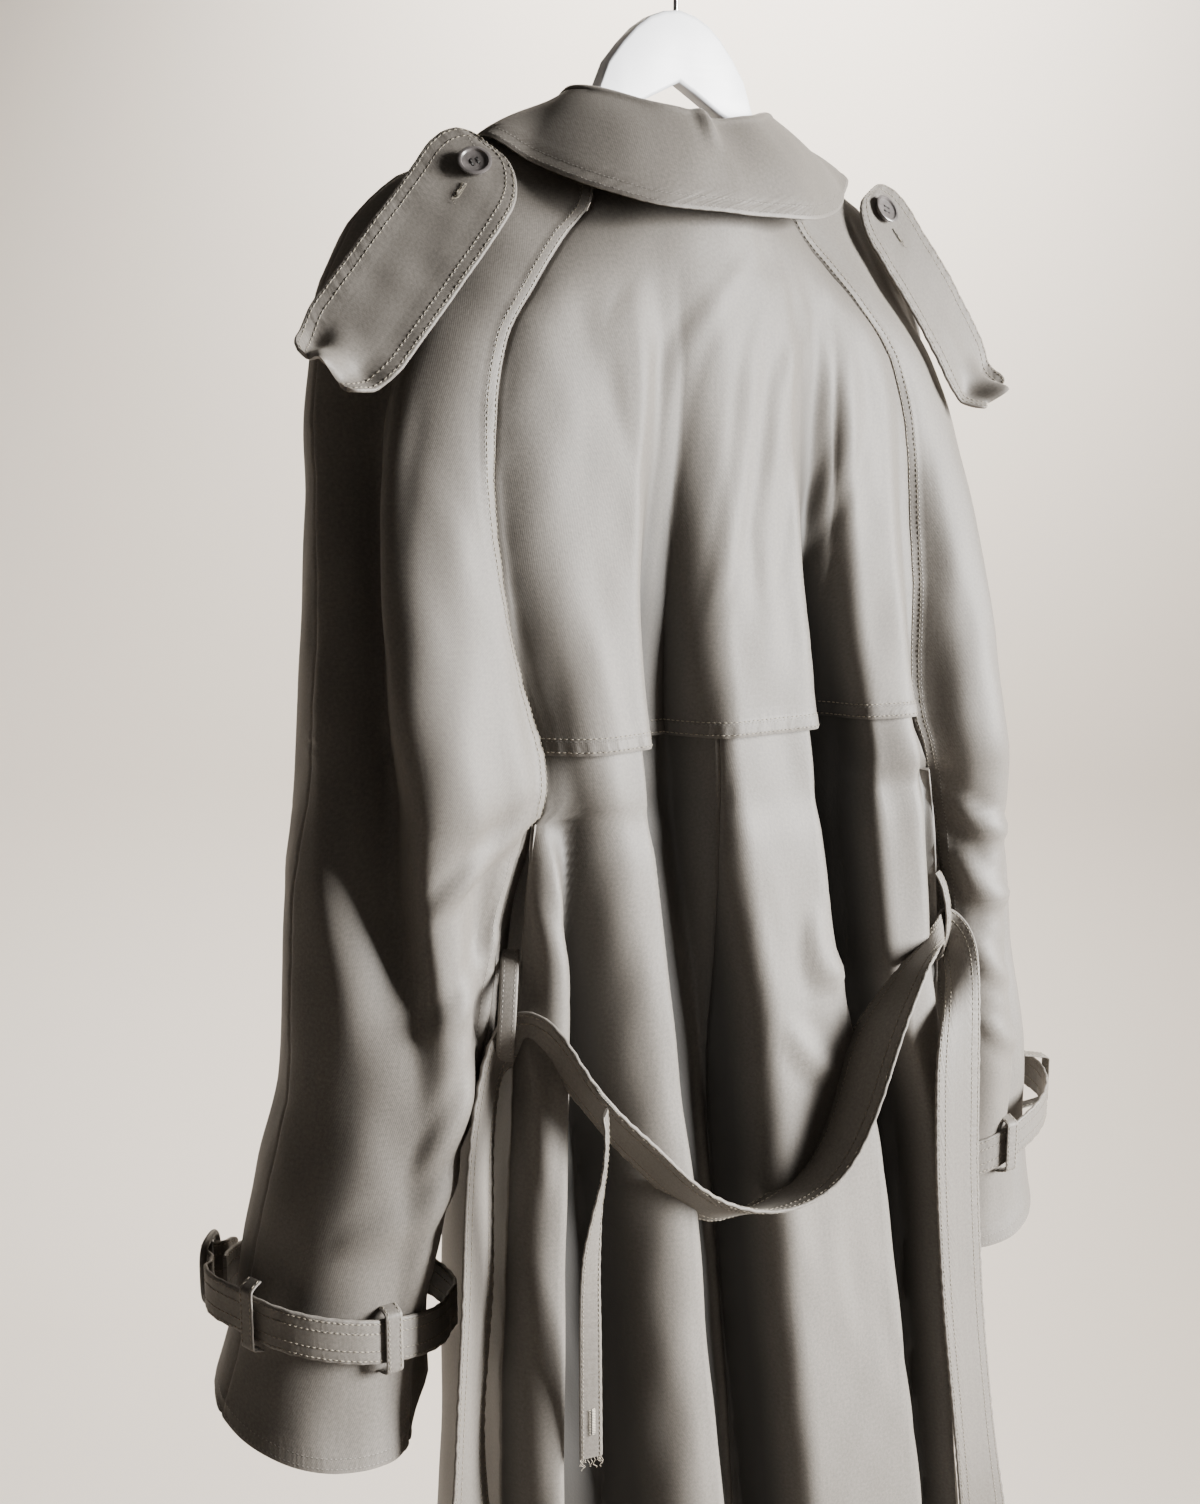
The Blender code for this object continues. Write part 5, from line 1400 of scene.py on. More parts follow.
# %% Hang the belt
BELT_CELLS = 330        # cells along the belt
BELT_CLOTH = 2.4        # its thickness
ACROSS_BACK = [
    # outer edge           inner edge, in a bow with a half turn between the loops
    ((-160, -98, -656), (-156, -84, -694)),
    ((-150, -126, -686), (-137, -101, -718)),
    ((-132, -136, -712), (-120, -105, -742)),
    ((-106, -137, -738), (-95, -107, -770)),
    ((-80, -137, -766), (-68, -107, -798)),
    ((-48, -140, -790), (-38, -106, -816)),
    ((-14, -146, -800), (-8, -105, -812)),
    ((16, -149, -796), (24, -108, -798)),
    ((40, -150, -780), (44, -108, -776)),
    ((60, -150, -748), (58, -107, -746)),
    ((78, -147, -712), (70, -105, -716)),
    ((98, -142, -682), (96, -102, -694)),
    ((124, -130, -662), (136, -94, -672)),
    ((158, -104, -664), (168, -86, -656)),
]
LEFT_END = [
    # outer edge             inner edge
    ((-172, -77, -654), (-172, -72, -690)),
    ((-184, -76, -668), (-176, -70, -703)),
    ((-196, -82, -692), (-178, -68, -722)),
    ((-206, -88, -722), (-180, -68, -745)),
    ((-212, -91, -766), (-181, -69, -782)),
    ((-216, -93, -825), (-182, -70, -825)),
    ((-222, -92, -930), (-189, -68, -930)),
    ((-226, -76, -1040), (-190, -84, -1040)),
    ((-226, -40, -1150), (-202, -76, -1150)),
    ((-202, -18, -1250), (-206, -63, -1250)),
]
RIGHT_END = [
    # inner edge            outer edge
    ((190, -73, -682), (191, -73, -646)),
    ((178, -90, -696), (202, -90, -662)),
    ((156, -108, -716), (190, -110, -694)),
    ((144, -116, -750), (186, -116, -742)),
    ((142, -120, -800), (186, -118, -800)),
    ((148, -124, -900), (192, -120, -900)),
    ((163, -128, -1020), (207, -123, -1020)),
    ((192, -118, -1160), (233, -128, -1160)),
    ((221, -96, -1262), (246, -132, -1262)),
]


def softened(path, times_over):
    """The path with its small corners rubbed smooth and its ends kept."""
    for _ in range(times_over):
        path[1:-1] = 0.25 * path[:-2] + 0.5 * path[1:-1] + 0.25 * path[2:]
    return path


belt_path = np.array(LEFT_END[::-1] + ACROSS_BACK + RIGHT_END, float).reshape(-1, 6)
belt_path = softened(even(spline(belt_path, 1500), BELT_CELLS), 10)
add_band("belt_cloth", belt_path[:, :3], belt_path[:, 3:], BELT_CLOTH, ["belt"], ROWS, 0.45, 14)
print("belt:", round(CLOTHS["belt_cloth"]["flat"][1], 2), "m long")

# %% [markdown]
# Two loops hold the belt. Each is sewn over a side seam above and below it, and stands off
# just far enough to let it through.

# %% Sew on the belt loops
LOOP_WIDTH = 11.0
LOOP_ROWS = (1.6,)      # stitching's distance from a loop's edges
LOOP_HEIGHTS = {"left": (-624, -694), "right": (-622, -686)}
LOOP_STAND = {"left": 23.0, "right": 9.0}       # how far off the seam it lets the belt through
LOOP_FORWARD = {"left": 11.0, "right": 2.0}     # how far in front of the side seam

for name, side in SIDES.items():
    top, bottom = LOOP_HEIGHTS[name]
    part = np.linspace(0, 1, 60)
    heights = top + (bottom - top) * part
    away = 1.6 + (LOOP_STAND[name] - 1.6) * np.sin(math.pi * part) ** 0.6
    seam = np.array([[*(seam_at(z, "back") + (side * slide(z), LOOP_FORWARD[name])), z] for z in heights])
    outward = unit(np.array([0.5, -0.86, 0.0]))
    across = np.array([0.86, 0.5, 0.0]) * LOOP_WIDTH / 2
    line = softened(seam + outward * away[:, None], 12)
    add_band(f"belt_loop_{name}_cloth", side_of(line + across, side), side_of(line - across, side), 2.0,
             [f"belt_loop_{name}"], LOOP_ROWS, 0.12, 4)
print("loops:", LOOP_HEIGHTS)

# %% [markdown]
# A narrow tab is threaded through a slit in the belt and hangs from it, with a buttonhole
# and a frayed end at its foot.

# %% Thread the tab
TAB_WIDTH = 15.0
TAB_ROWS = (1.8,)
TAB = {
    "z":    [-706, -716, -735, -765, -800, -860, -936],
    "x":    [-146, -147, -149, -151, -150, -146, -143],
    "y":    [-140, -144, -145, -139, -131, -124, -120],
    "turn": [-48, -50, -48, -34, -10, 6, 12],
}
tab_line = softened(even(spline(np.stack([TAB["x"], TAB["y"], TAB["z"]], 1), 400), 90), 20)
tab_turn = at_heights(TAB["z"], np.radians(TAB["turn"]), tab_line[:, 2])
tab_across = np.stack([np.cos(tab_turn), -np.sin(tab_turn), 0 * tab_turn], 1) * TAB_WIDTH / 2
add_band("belt_tab_cloth", tab_line - tab_across, tab_line + tab_across, 1.6, ["belt_tab"], TAB_ROWS, 0.2, 4)
print("tab:", round(CLOTHS["belt_tab_cloth"]["flat"][1] * 1000), "mm long")

# %% [markdown]
# ## The epaulettes
# An epaulette is a flap of doubled twill from the shoulder's outer end to a button near the
# collar. Here it lies loose: its rounded tip stands off the shoulder and its outer end is
# folded together like a pleat.

# %% Shape the epaulettes
EPAULETTE_WIDTH = 66.0
EPAULETTE_CLOTH = 2.4
EPAULETTE_TIP = 30.0    # length of the rounded tip
EPAULETTE_PINCH = 34.0  # length over which the outer end is folded together
PINCH_DEPTH = 10.0
EPAULETTE_CURL = 11.0   # how far the outer end curls under
EPAULETTES = {
    "left": {
        "line": [(147, -19, -155), (176, -28, -191), (206, -32, -226), (238, -36, -263), (262, -38, -291)],
        "across": (-0.50, -0.64, -0.58),
    },
    "right": {
        "line": [(150, -17, -156), (170, -30, -190), (192, -40, -226), (213, -48, -263), (229, -53, -293)],
        "across": (-0.80, -0.34, -0.49),
    },
}
epaulette_faces = {}


def epaulette(line, across):
    """An epaulette's middle face, from its rounded tip to its pinched outer end."""
    line = spline(line, 400)
    whole = arc(line)[-1]
    near_tip = [0, 0.15, 0.5, 1.1, 2.0, 3.2, 4.6, 6.2, 8.2, 10.5]
    run = np.r_[near_tip, np.linspace(13, whole - 3, 60), whole - 1.2, whole]
    line = pick(line, run)
    across = unit(np.array(across, float))
    facing = unit(np.cross(np.gradient(line, axis=0), across))
    round_tip = quarter(run / EPAULETTE_TIP)
    pinch = step((run - run[-1] + EPAULETTE_PINCH) / EPAULETTE_PINCH)
    round_end = quarter((run[-1] - run) / 15.0)
    half = EPAULETTE_WIDTH / 2 * (0.28 + 0.72 * round_tip) * (1 - 0.2 * pinch) * (0.72 + 0.28 * round_end)
    place = 2 * band_places(EPAULETTE_WIDTH, 22) - 1
    grid = line[:, None] + half[:, None, None] * place[None, :, None] * across
    fold = 0.3 * bump((np.abs(place) - 0.62) / 0.38) - bump(place / 0.55)
    fold = PINCH_DEPTH * pinch[:, None] * fold[None, :]
    fold = fold - EPAULETTE_CURL * step((run - run[-1] + 20) / 20)[:, None] ** 2
    return grid + fold[..., None] * facing[:, None]


for name, side in SIDES.items():
    face = side_of(epaulette(**EPAULETTES[name]), side)
    out = normals(face)
    if out[20, 12, 1] > 0:
        out = -out
    across = widths(face)
    down = lengths_down(face)
    from_edge = np.minimum(np.minimum(across, across[:, -1:] - across), down)
    pucker = 0.3 * np.sin(2 * math.pi * (down + across * 0.4) / 10.0) * np.exp(-((from_edge - 4) / 5) ** 2)
    pressed = sum(np.exp(-((from_edge - row) / 0.9) ** 2) for row in ROWS)
    soft = hollows(face * 1.6) * 0.8
    face = face + out * (pucker + soft)[..., None]
    rounded = quarter(from_edge / 1.5) * 0.72 + 0.28
    half = (EPAULETTE_CLOTH / 2 * rounded - 0.16 * pressed)[..., None]
    outer = face + out * half
    inner = face - out * half
    piece = f"epaulette_{name}_cloth"
    add_cloth(piece, outer, inner, TWILL, [f"epaulette_{name}"], "laid",
              [f"sleeve_{name}_back_cloth"], "lrt")
    CLOTHS[piece].update(outer=outer, inner=inner, out=out, across=across, down=down)
    epaulette_faces[name] = (face, out)
print("epaulettes:", face.shape)

# %% [markdown]
# ## The cuff straps
# Each cuff is drawn in by a strap that runs round the sleeve through two loops and is
# threaded through a small covered buckle. It spans the sleeve's folds instead of following
# them, so its distance from the arm is the widest that the sleeve has nearby.

# %% Where a strap runs
STRAP_Z = -846.0
STRAP_WIDTH = 28.0
STRAP_STAND = 4.0       # gap between a strap and the sleeve
STRAP_TAIL = 46.0       # length that has passed through the buckle
STRAP_DROOP = 0.8       # how steeply that end hangs down
STRAPS = {
    "left":  {"rise": 0.22, "stand_out": 0.0},
    "right": {"rise": 0.26, "stand_out": 16.0},
}
BUCKLE_ANGLE = 38.0     # from straight out towards the front
BUCKLE_OUT = 13.0       # distance from the inside of the strap to the buckle's plate
BAR_PITCH = 14.5        # distance from the buckle's middle bar to its side bars
WEAVE = 4.4             # how far the strap passes over the middle bar and under the others
CLIMB_FROM = 75.0       # it leaves the sleeve this far before the buckle ...
CLIMB = 42.0            # ... and has reached its plate after this length
CUFF_LOOP_ANGLES = (-19.0, -90.0)


def sleeve_radius(side, folds, z, angles):
    """Distance from a sleeve's axis at height z to its surface at the given angles."""
    away = sleeve_row(z, side, folds, folded=plain_folds)[:-1, :2] - sleeve_axis(z, side)
    around = np.arctan2(away[:, 1], away[:, 0])
    order = np.argsort(around)
    reach = np.linalg.norm(away, axis=1)
    return np.interp(angles, around[order], reach[order], period=2 * math.pi)


def strap_radius(name, angles):
    """Distance from the axis to the inside of a cuff strap, which spans the sleeve's folds."""
    reach = np.zeros_like(angles)
    for height in (STRAP_Z - 16, STRAP_Z, STRAP_Z + 16):
        for shift in np.radians(np.linspace(-30, 30, 7)):
            found = sleeve_radius(SIDES[name], FRAME_FOLDS[name], height, angles + shift)
            reach = np.maximum(reach, found)
    return reach + STRAP_STAND + STRAPS[name]["stand_out"] * np.clip(np.cos(angles), 0, 1) ** 2


def strap_point(name, angles, reach):
    """Points on a cuff strap's middle line."""
    axis = sleeve_axis(STRAP_Z, SIDES[name])
    x = reach * np.cos(angles)
    y = reach * np.sin(angles)
    return np.stack([axis[0] + x, axis[1] + y, STRAP_Z + STRAPS[name]["rise"] * x], -1)


print("strap reach straight out:", round(float(strap_radius("left", np.array([0.0]))[0]), 1), "mm")

# %% Thread the straps
buckle_places = {}
for name, side in SIDES.items():
    first = math.radians(BUCKLE_ANGLE)
    start = strap_radius(name, np.array([first]))[0] + BUCKLE_OUT
    whole = first + 2 * math.pi
    near = BAR_PITCH * 2.2 / start
    angles = np.r_[np.linspace(first - 0.15, whole - near - 0.1, 150),
                   whole + np.linspace(-near, STRAP_TAIL / start, 80)]
    run = (angles - whole) * start
    climb = step((run + CLIMB_FROM) / CLIMB)
    across_bars = np.cos(math.pi * np.minimum(np.abs(run) / BAR_PITCH, 1))
    weave = WEAVE * across_bars * step((BAR_PITCH * 2.3 - np.abs(run)) / 10)
    reach = (strap_radius(name, angles) + BELT_CLOTH / 2) * (1 - climb) + start * climb + weave
    past = np.clip(run - BAR_PITCH * 1.4, 0, None)
    line = strap_point(name, angles, reach + 0.5 * past)
    line[:, 2] -= STRAP_DROOP * past
    line = softened(line, 6)
    half = unit(np.array([0, 0, 1.0]) + np.clip(past / 6, 0, 0.7)[:, None]
                * np.stack([-np.sin(angles), np.cos(angles), 0 * angles], 1)) * STRAP_WIDTH / 2
    add_band(f"cuff_strap_{name}_cloth", side_of(line + half, side), side_of(line - half, side), BELT_CLOTH,
             [f"cuff_strap_{name}"], ROWS, 0.35, 9)
    outward = np.array([math.cos(first), math.sin(first), 0.0]) * (side, 1, 1)
    middle = strap_point(name, np.array([first]), np.array([start]))[0] * (side, 1, 1)
    buckle_places[name] = (middle, outward)
print("straps:", [round(CLOTHS[f"cuff_strap_{name}_cloth"]["flat"][1], 2) for name in SIDES], "m")

# %% Sew on the cuff loops
for name, side in SIDES.items():
    for number, place_at in enumerate(CUFF_LOOP_ANGLES, 1):
        angle = np.array([math.radians(place_at)])
        over = strap_radius(name, angle)[0] + BELT_CLOTH + 3.6
        lean = np.linspace(-1, 1, 61)
        middle = strap_point(name, angle, np.array([over]))[0, 2]
        heights = middle + 22.0 * lean
        sleeve_at = [sleeve_radius(side, FRAME_FOLDS[name], z, angle)[0] for z in heights[::6]]
        under = np.interp(heights, heights[::6], sleeve_at) + 3.2
        mix = np.clip((1 - np.abs(lean)) / 0.14, 0, 1)
        line = strap_point(name, angle, under + (over - under) * mix)
        line[:, 2] = heights
        line = softened(line, 5)
        across = np.array([-math.sin(angle[0]), math.cos(angle[0]), 0.0]) * LOOP_WIDTH / 2
        add_band(f"cuff_loop_{name}_{number}_cloth", side_of(line - across, side),
                 side_of(line + across, side), 1.6, [f"cuff_loop_{name}_{number}"], LOOP_ROWS, 0.1, 4)
print("pieces of cloth:", len(CLOTHS))

# %% [markdown]
# ## Stitching
# Topstitching is real thread, so it is modelled: each stitch is a small grain that lies on
# the cloth and dips into it at both ends. One grain is made from a sphere and stretched,
# and its points are then copied along every row of stitches.

# %% Model one stitch
STITCH = 2.7            # length of a stitch that shows, millimetres
STITCH_PITCH = 3.5      # from one to the next
STITCH_DIP = 0.28       # how far its ends dip into the cloth, in half thicknesses
THREAD = 0.34           # its half thickness
ROW_LIFT = 0.08         # how far a row on a band lies off it
SEAM_LIFT = 0.1         # how far one beside a seam does

bpy.ops.mesh.primitive_uv_sphere_add(segments=6, ring_count=3, radius=1.0, rotation=(0, math.pi / 2, 0))
grain = bpy.context.active_object
bpy.ops.object.transform_apply(location=False, rotation=True, scale=False)
grain_points = np.array([vert.co for vert in grain.data.vertices])
grain_faces = [list(face.vertices) for face in grain.data.polygons]
bpy.data.objects.remove(grain)
print("a stitch:", len(grain_faces), "faces")


# %% The thread's finish
def thread_finish(name, colour):
    """Matt twisted thread, a little paler than the cloth."""
    mix = Mix(name, 0.66)
    tone = mix.noise(mix.place(), 900.0, 2.0)
    mix.feed("Base Color", mix.ramp(tone, [(0.3, shade(colour, 0.78)), (0.7, shade(colour, 1.2))]))
    mix.lift([(tone, 0.4, 0.0002)])
    mix.set("Sheen Weight", 0.1)
    return mix.material


THREAD_PALE = thread_finish("thread_olive", (0.235, 0.205, 0.155))
THREAD_RAW = thread_finish("thread_raw", (0.46, 0.41, 0.33))
THREAD_DARK = thread_finish("thread_dark", (0.030, 0.028, 0.026))
print("threads:", THREAD_PALE.name, THREAD_RAW.name, THREAD_DARK.name)

# %% Lay a row of stitches
STITCH_ROWS = {}


def stitch_row(owner, path, out):
    """Adds the stitches along one path on a piece of cloth to its owner's list."""
    whole = arc(path)[-1]
    count = int(whole / STITCH_PITCH)
    if count < 1:
        return
    middle = (np.arange(count) + 0.5) * whole / count
    heads = pick(path, middle - STITCH / 2)
    tails = pick(path, middle + STITCH / 2)
    outs = unit(pick(np.hstack([path, out]), middle)[:, 3:])
    run = unit(tails - heads)
    side = unit(np.cross(outs, run))
    outs = np.cross(run, side)
    x, y, z = grain_points.T[:, None, :, None]
    points = x * run[:, None] * STITCH / 2 + y * side[:, None] * THREAD + z * outs[:, None] * THREAD
    dip = STITCH_DIP * (1 - 1.6 * x ** 2) * outs[:, None] * THREAD
    STITCH_ROWS.setdefault(owner, []).append((heads + tails)[:, None] / 2 + points + dip)


def sew(owner):
    """Makes one object of all the stitches on a piece."""
    grains = np.concatenate(STITCH_ROWS[owner])
    count = len(grains)
    size = len(grain_points)
    faces = [[corner + size * number for corner in face] for number in range(count) for face in grain_faces]
    mesh = bpy.data.meshes.new(f"{owner}_stitches")
    mesh.from_pydata((grains.reshape(-1, 3) * MM).tolist(), [], faces)
    mesh.shade_smooth()
    mesh.materials.append(THREAD_PALE)
    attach(new_object(f"{owner}_stitches", mesh), "root")
    return count


print("grain points:", grain_points.shape)

# %% [markdown]
# Two rows run along each raglan seam, on the sleeve's side. Two more hold the shield's hem,
# the collar's edge and the front edges. The rows follow the grid's own lines, 2 mm and 7 mm
# from the edge, and at the shield's hem 2 mm and 10 mm.

# %% Stitch seams and edges
def grid_row(owner, outer, outward, columns=(), rows=()):
    """Rows of stitches along columns or rows of a cloth's outer grid."""
    out = normals(outer)
    if (out * outward).sum() < 0:
        out = -out
    for column in columns:
        stitch_row(owner, outer[:, column] + out[:, column] * SEAM_LIFT, out[:, column])
    for row in rows:
        stitch_row(owner, outer[row] + out[row] * SEAM_LIFT, out[row])


arm_rows = slice(0, ARM_ROWS)
below_lapel = slice(int(np.argmax(BODY_ROWS < LAPEL_FOOT)), None)
for name, side in SIDES.items():
    for owner, faces, outs, lifts, rows, columns in (
            ("sleeve", sleeve_faces, sleeve_out, sleeve_lift, arm_rows, (2, 5, -3, -6)),
            ("front", front_faces, front_out, front_lift, below_lapel, (-3, -6))):
        out = side_of(outs[name], side)
        outer = side_of(faces[name], side) + out * lifts[name][..., None]
        grid_row(f"{owner}_{name}", outer[rows], out[rows], columns)
shield_outer = back_face[shield] + back_out[shield] * shield_offset[..., None]
grid_row("shield", shield_outer, back_out[shield], rows=(-3, -8))
grid_row("collar", collar, collar_out, rows=(-3, -6))
for owner in ("sleeve_left", "sleeve_right", "front_left", "front_right", "shield", "collar"):
    print(owner, sew(owner), "stitches")

# %% [markdown]
# The bands are stitched along both edges, and the stitches show on both faces.

# %% Stitch the bands
def read_row(row, places, wanted):
    """The point of a grid's row that lies at the wanted place along it."""
    return [np.interp(wanted, places, row[:, k]) for k in range(3)]


def band_rows(name, from_edges, faces=("outer", "inner")):
    """Stitches along both edges of a band, at the given distances from them."""
    made = CLOTHS[name]
    owner = name.replace("_cloth", "")
    for surface in faces:
        sign = 1.0 if surface == "outer" else -1.0
        grid = made[surface]
        out = made["out"] * sign
        for away in from_edges:
            for share in (away / made["width"], 1 - away / made["width"]):
                place = np.array([read_row(row, made["part"], share) for row in grid])
                facing = np.array([read_row(row, made["part"], share) for row in out])
                stitch_row(owner, place + facing * ROW_LIFT, facing)
    return sew(owner)


print("belt", band_rows("belt_cloth", ROWS), "stitches")
print("tab", band_rows("belt_tab_cloth", TAB_ROWS), "stitches")
for name in SIDES:
    print(name, "loop", band_rows(f"belt_loop_{name}_cloth", LOOP_ROWS, ("outer",)), "stitches")
    print(name, "strap", band_rows(f"cuff_strap_{name}_cloth", ROWS), "stitches")
    for number in (1, 2):
        band_rows(f"cuff_loop_{name}_{number}_cloth", LOOP_ROWS)

# %% Stitch the epaulettes
def nearest(face, point):
    """Row and column of the grid's point that lies nearest to a point."""
    return np.unravel_index(np.argmin(((face - point) ** 2).sum(-1)), face.shape[:2])


for name in SIDES:
    piece = CLOTHS[f"epaulette_{name}_cloth"]
    across = piece["across"]
    down = piece["down"]
    for away in ROWS:
        for surface, sign in (("outer", 1.0), ("inner", -1.0)):
            grid = piece[surface]
            out = piece["out"] * sign
            start = int(np.argmax(down[:, 0] > away))
            line = [read_row(grid[row], across[row], away) for row in range(len(grid) - 1, start, -1)]
            tip = int(np.argmin(np.abs(down[:, 0] - away)))
            inside = (across[tip] > away) & (across[tip] < across[tip, -1] - away)
            line.extend(grid[tip][inside])
            for row in range(start + 1, len(grid)):
                line.append(read_row(grid[row], across[row], across[row, -1] - away))
            line = np.array(line)
            facing = np.array([out[nearest(grid, point)] for point in line])
            stitch_row(f"epaulette_{name}", line + facing * ROW_LIFT, facing)
    print(name, "epaulette", sew(f"epaulette_{name}"), "stitches")

# %% [markdown]
# ## Buttons
# The buttons are pressed horn: a disc with a raised, rounded rim, a shallow dish and four
# holes. A cylinder is inset for the rim, inset again and pushed in for the dish, bevelled,
# and the holes are cut by a Boolean, because a hole that is only painted looks flat.

# %% Horn
def horn(name, colour):
    """Pressed horn: dark, with faint cloudy streaks and a soft polish."""
    mix = Mix(name, 0.30)
    clouds = mix.noise(mix.place(), 130.0, 5.0, 0.6)
    scratches = mix.noise(mix.mapped(mix.place(), (900, 900, 5000)), 1.0, 2.0)
    mix.feed("Base Color", mix.ramp(clouds, [(0.30, shade(colour, 0.55)), (0.52, colour),
                                             (0.72, shade(colour, 1.5))]))
    mix.feed("Roughness", mix.plus(mix.times(scratches, 0.22), 0.2))
    mix.lift([(scratches, 0.12, 0.0002)])
    mix.set("Coat Weight", 0.25)
    mix.set("Coat Roughness", 0.2)
    return mix.material


HORN = horn("button_horn", (0.105, 0.095, 0.092))
print("finish:", HORN.name)

# %% Turn one button
BUTTON = 20.0           # width of a shoulder button
FRONT_BUTTON = 28.0     # width of a closing button
BUTTON_THICK = 3.2
FOOT_SHARE = 0.84       # its back is this much narrower
RIM_SLOPE = 0.9         # steps inwards: up to the rim, along its top, down into the dish
RIM_TOP = 1.1
DISH_SLOPE = 0.7
DISH_FLOOR = 2.6
RIM_RISE = 0.35         # steps up and down: the rim, the dish, its middle
DISH_DROP = 1.1
MIDDLE_DROP = 0.3
HOLE = 0.95             # radius of its holes
HOLE_AT = 1.9           # their distance from its two middle lines


def apply_all(item):
    """Applies every modifier of an item."""
    only(item)
    for modifier in list(item.modifiers):
        bpy.ops.object.modifier_apply(modifier=modifier.name)


bpy.ops.mesh.primitive_cylinder_add(vertices=64, radius=BUTTON / 2 * MM, depth=BUTTON_THICK * MM)
button = bpy.context.active_object
button.name = "button_pattern"
edit_mode_on(button)
select_faces(button, lambda middle, out: out.z < -0.9)
bpy.ops.transform.resize(value=(FOOT_SHARE, FOOT_SHARE, 1.0))
select_faces(button, lambda middle, out: out.z > 0.9)
bpy.ops.mesh.inset(thickness=RIM_SLOPE * MM)
bpy.ops.transform.translate(value=(0, 0, RIM_RISE * MM))
bpy.ops.mesh.inset(thickness=RIM_TOP * MM)
bpy.ops.mesh.inset(thickness=DISH_SLOPE * MM)
bpy.ops.transform.translate(value=(0, 0, -DISH_DROP * MM))
bpy.ops.mesh.inset(thickness=DISH_FLOOR * MM)
bpy.ops.transform.translate(value=(0, 0, -MIDDLE_DROP * MM))
edit_mode_off()
holes = []
for x in (-HOLE_AT, HOLE_AT):
    for y in (-HOLE_AT, HOLE_AT):
        bpy.ops.mesh.primitive_cylinder_add(vertices=20, radius=HOLE * MM, depth=9 * MM,
                                            location=(x * MM, y * MM, 0))
        holes.append(bpy.context.active_object)
for hole in holes:
    cut = button.modifiers.new("hole", "BOOLEAN")
    cut.operation = "DIFFERENCE"
    cut.solver = "EXACT"
    cut.object = hole
rounding = button.modifiers.new("rounding", "BEVEL")
rounding.width = 0.22 * MM
rounding.segments = 3
rounding.limit_method = "ANGLE"
rounding.angle_limit = math.radians(28)
apply_all(button)
for hole in holes:
    bpy.data.objects.remove(hole)
button.data.shade_smooth()
button.data.set_sharp_from_angle(angle=math.radians(50))
print("button:", len(button.data.polygons), "faces")

# %% [markdown]
# Each button is sewn on with two double bars of dark thread through its holes and a wrapped
# shank below it. The bars are tubes along short paths.

# %% Thread as a tube
def tube(name, path, radius, material, sides=8, smooth_count=None):
    """A closed tube of thread along a path of points in millimetres."""
    path = np.asarray(path, float)
    if smooth_count:
        path = even(spline(path, 200), smooth_count)
    run = unit(np.gradient(path, axis=0))
    guide = np.array([0.3, 0.2, 1.0]) if abs(run[0, 2]) < 0.8 else np.array([1.0, 0.2, 0.1])
    across = unit(np.cross(run, guide))
    other = np.cross(run, across)
    turn = np.linspace(0, 2 * math.pi, sides, endpoint=False)
    ring = np.cos(turn)[None, :, None] * across[:, None] + np.sin(turn)[None, :, None] * other[:, None]
    taper = np.ones(len(path))
    taper[[0, -1]] = 0.5
    points = path[:, None] + ring * radius * taper[:, None, None]
    count = len(path)
    faces = [[row * sides + k, row * sides + (k + 1) % sides, (row + 1) * sides + (k + 1) % sides,
              (row + 1) * sides + k] for row in range(count - 1) for k in range(sides)]
    faces.append(list(range(sides))[::-1])
    faces.append([(count - 1) * sides + k for k in range(sides)])
    mesh = bpy.data.meshes.new(name)
    mesh.from_pydata((points.reshape(-1, 3) * MM).tolist(), [], faces)
    work = bmesh.new()
    work.from_mesh(mesh)
    bmesh.ops.recalc_face_normals(work, faces=work.faces)
    work.to_mesh(mesh)
    work.free()
    mesh.shade_smooth()
    mesh.materials.append(material)
    return new_object(name, mesh)


def join(name, items):
    """One object made of several."""
    only(items[0])
    for item in items:
        item.select_set(True)
    bpy.ops.object.join()
    made = bpy.context.view_layer.objects.active
    made.name = name
    made.data.name = name
    return made


print("thread tools:", tube.__name__, join.__name__)

# %% Sew the buttons on
def stand(centre, outward, upward, scale=1.0):
    """Where a piece drawn flat is put: its +Z turned outwards and its +Y upwards."""
    away = Vector(outward).normalized()
    across = Vector(upward).cross(away).normalized()
    turned = Matrix((across, away.cross(across), away)).transposed().to_4x4()
    return Matrix.Translation(Vector(centre) * MM) @ turned @ Matrix.Scale(scale, 4)


def middle_of(node):
    """Middle of a node's box in the frame, in millimetres."""
    low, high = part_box(node)
    return np.array((low + high) / 2) / MM


def sew_button(name, node, centre, outward, upward, scale=1.0, spin=0.0):
    """A copy of the button with its sewing thread, put in its node's place."""
    place = stand(centre, outward, upward, scale) @ Matrix.Rotation(math.radians(spin), 4, "Z")
    copy = button.copy()
    copy.data = button.data.copy()
    bpy.context.scene.collection.objects.link(copy)
    copy.name = name
    copy.data.transform(place)
    copy.data.materials.clear()
    copy.data.materials.append(HORN)
    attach(copy, "root")
    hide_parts(node)
    threads = []
    for x in (-HOLE_AT, HOLE_AT):
        for shift in (-0.26, 0.26):
            bar = [(x + shift, -HOLE_AT, -1.4), (x + shift, -HOLE_AT, 0.2), (x + shift, -1.0, 0.75),
                   (x + shift, 1.0, 0.75), (x + shift, HOLE_AT, 0.2), (x + shift, HOLE_AT, -1.4)]
            threads.append(tube("bar", bar, 0.3, THREAD_DARK, 8, 16))
    turns = np.linspace(0, 10 * math.pi, 120)
    coil = np.stack([1.7 * np.cos(turns), 1.7 * np.sin(turns), -3.4 + 1.9 * turns / turns[-1]], 1)
    threads.append(tube("shank", coil, 0.32, THREAD_DARK, 6))
    thread = join(f"{name}_thread", threads)
    thread.data.transform(place)
    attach(thread, "root")


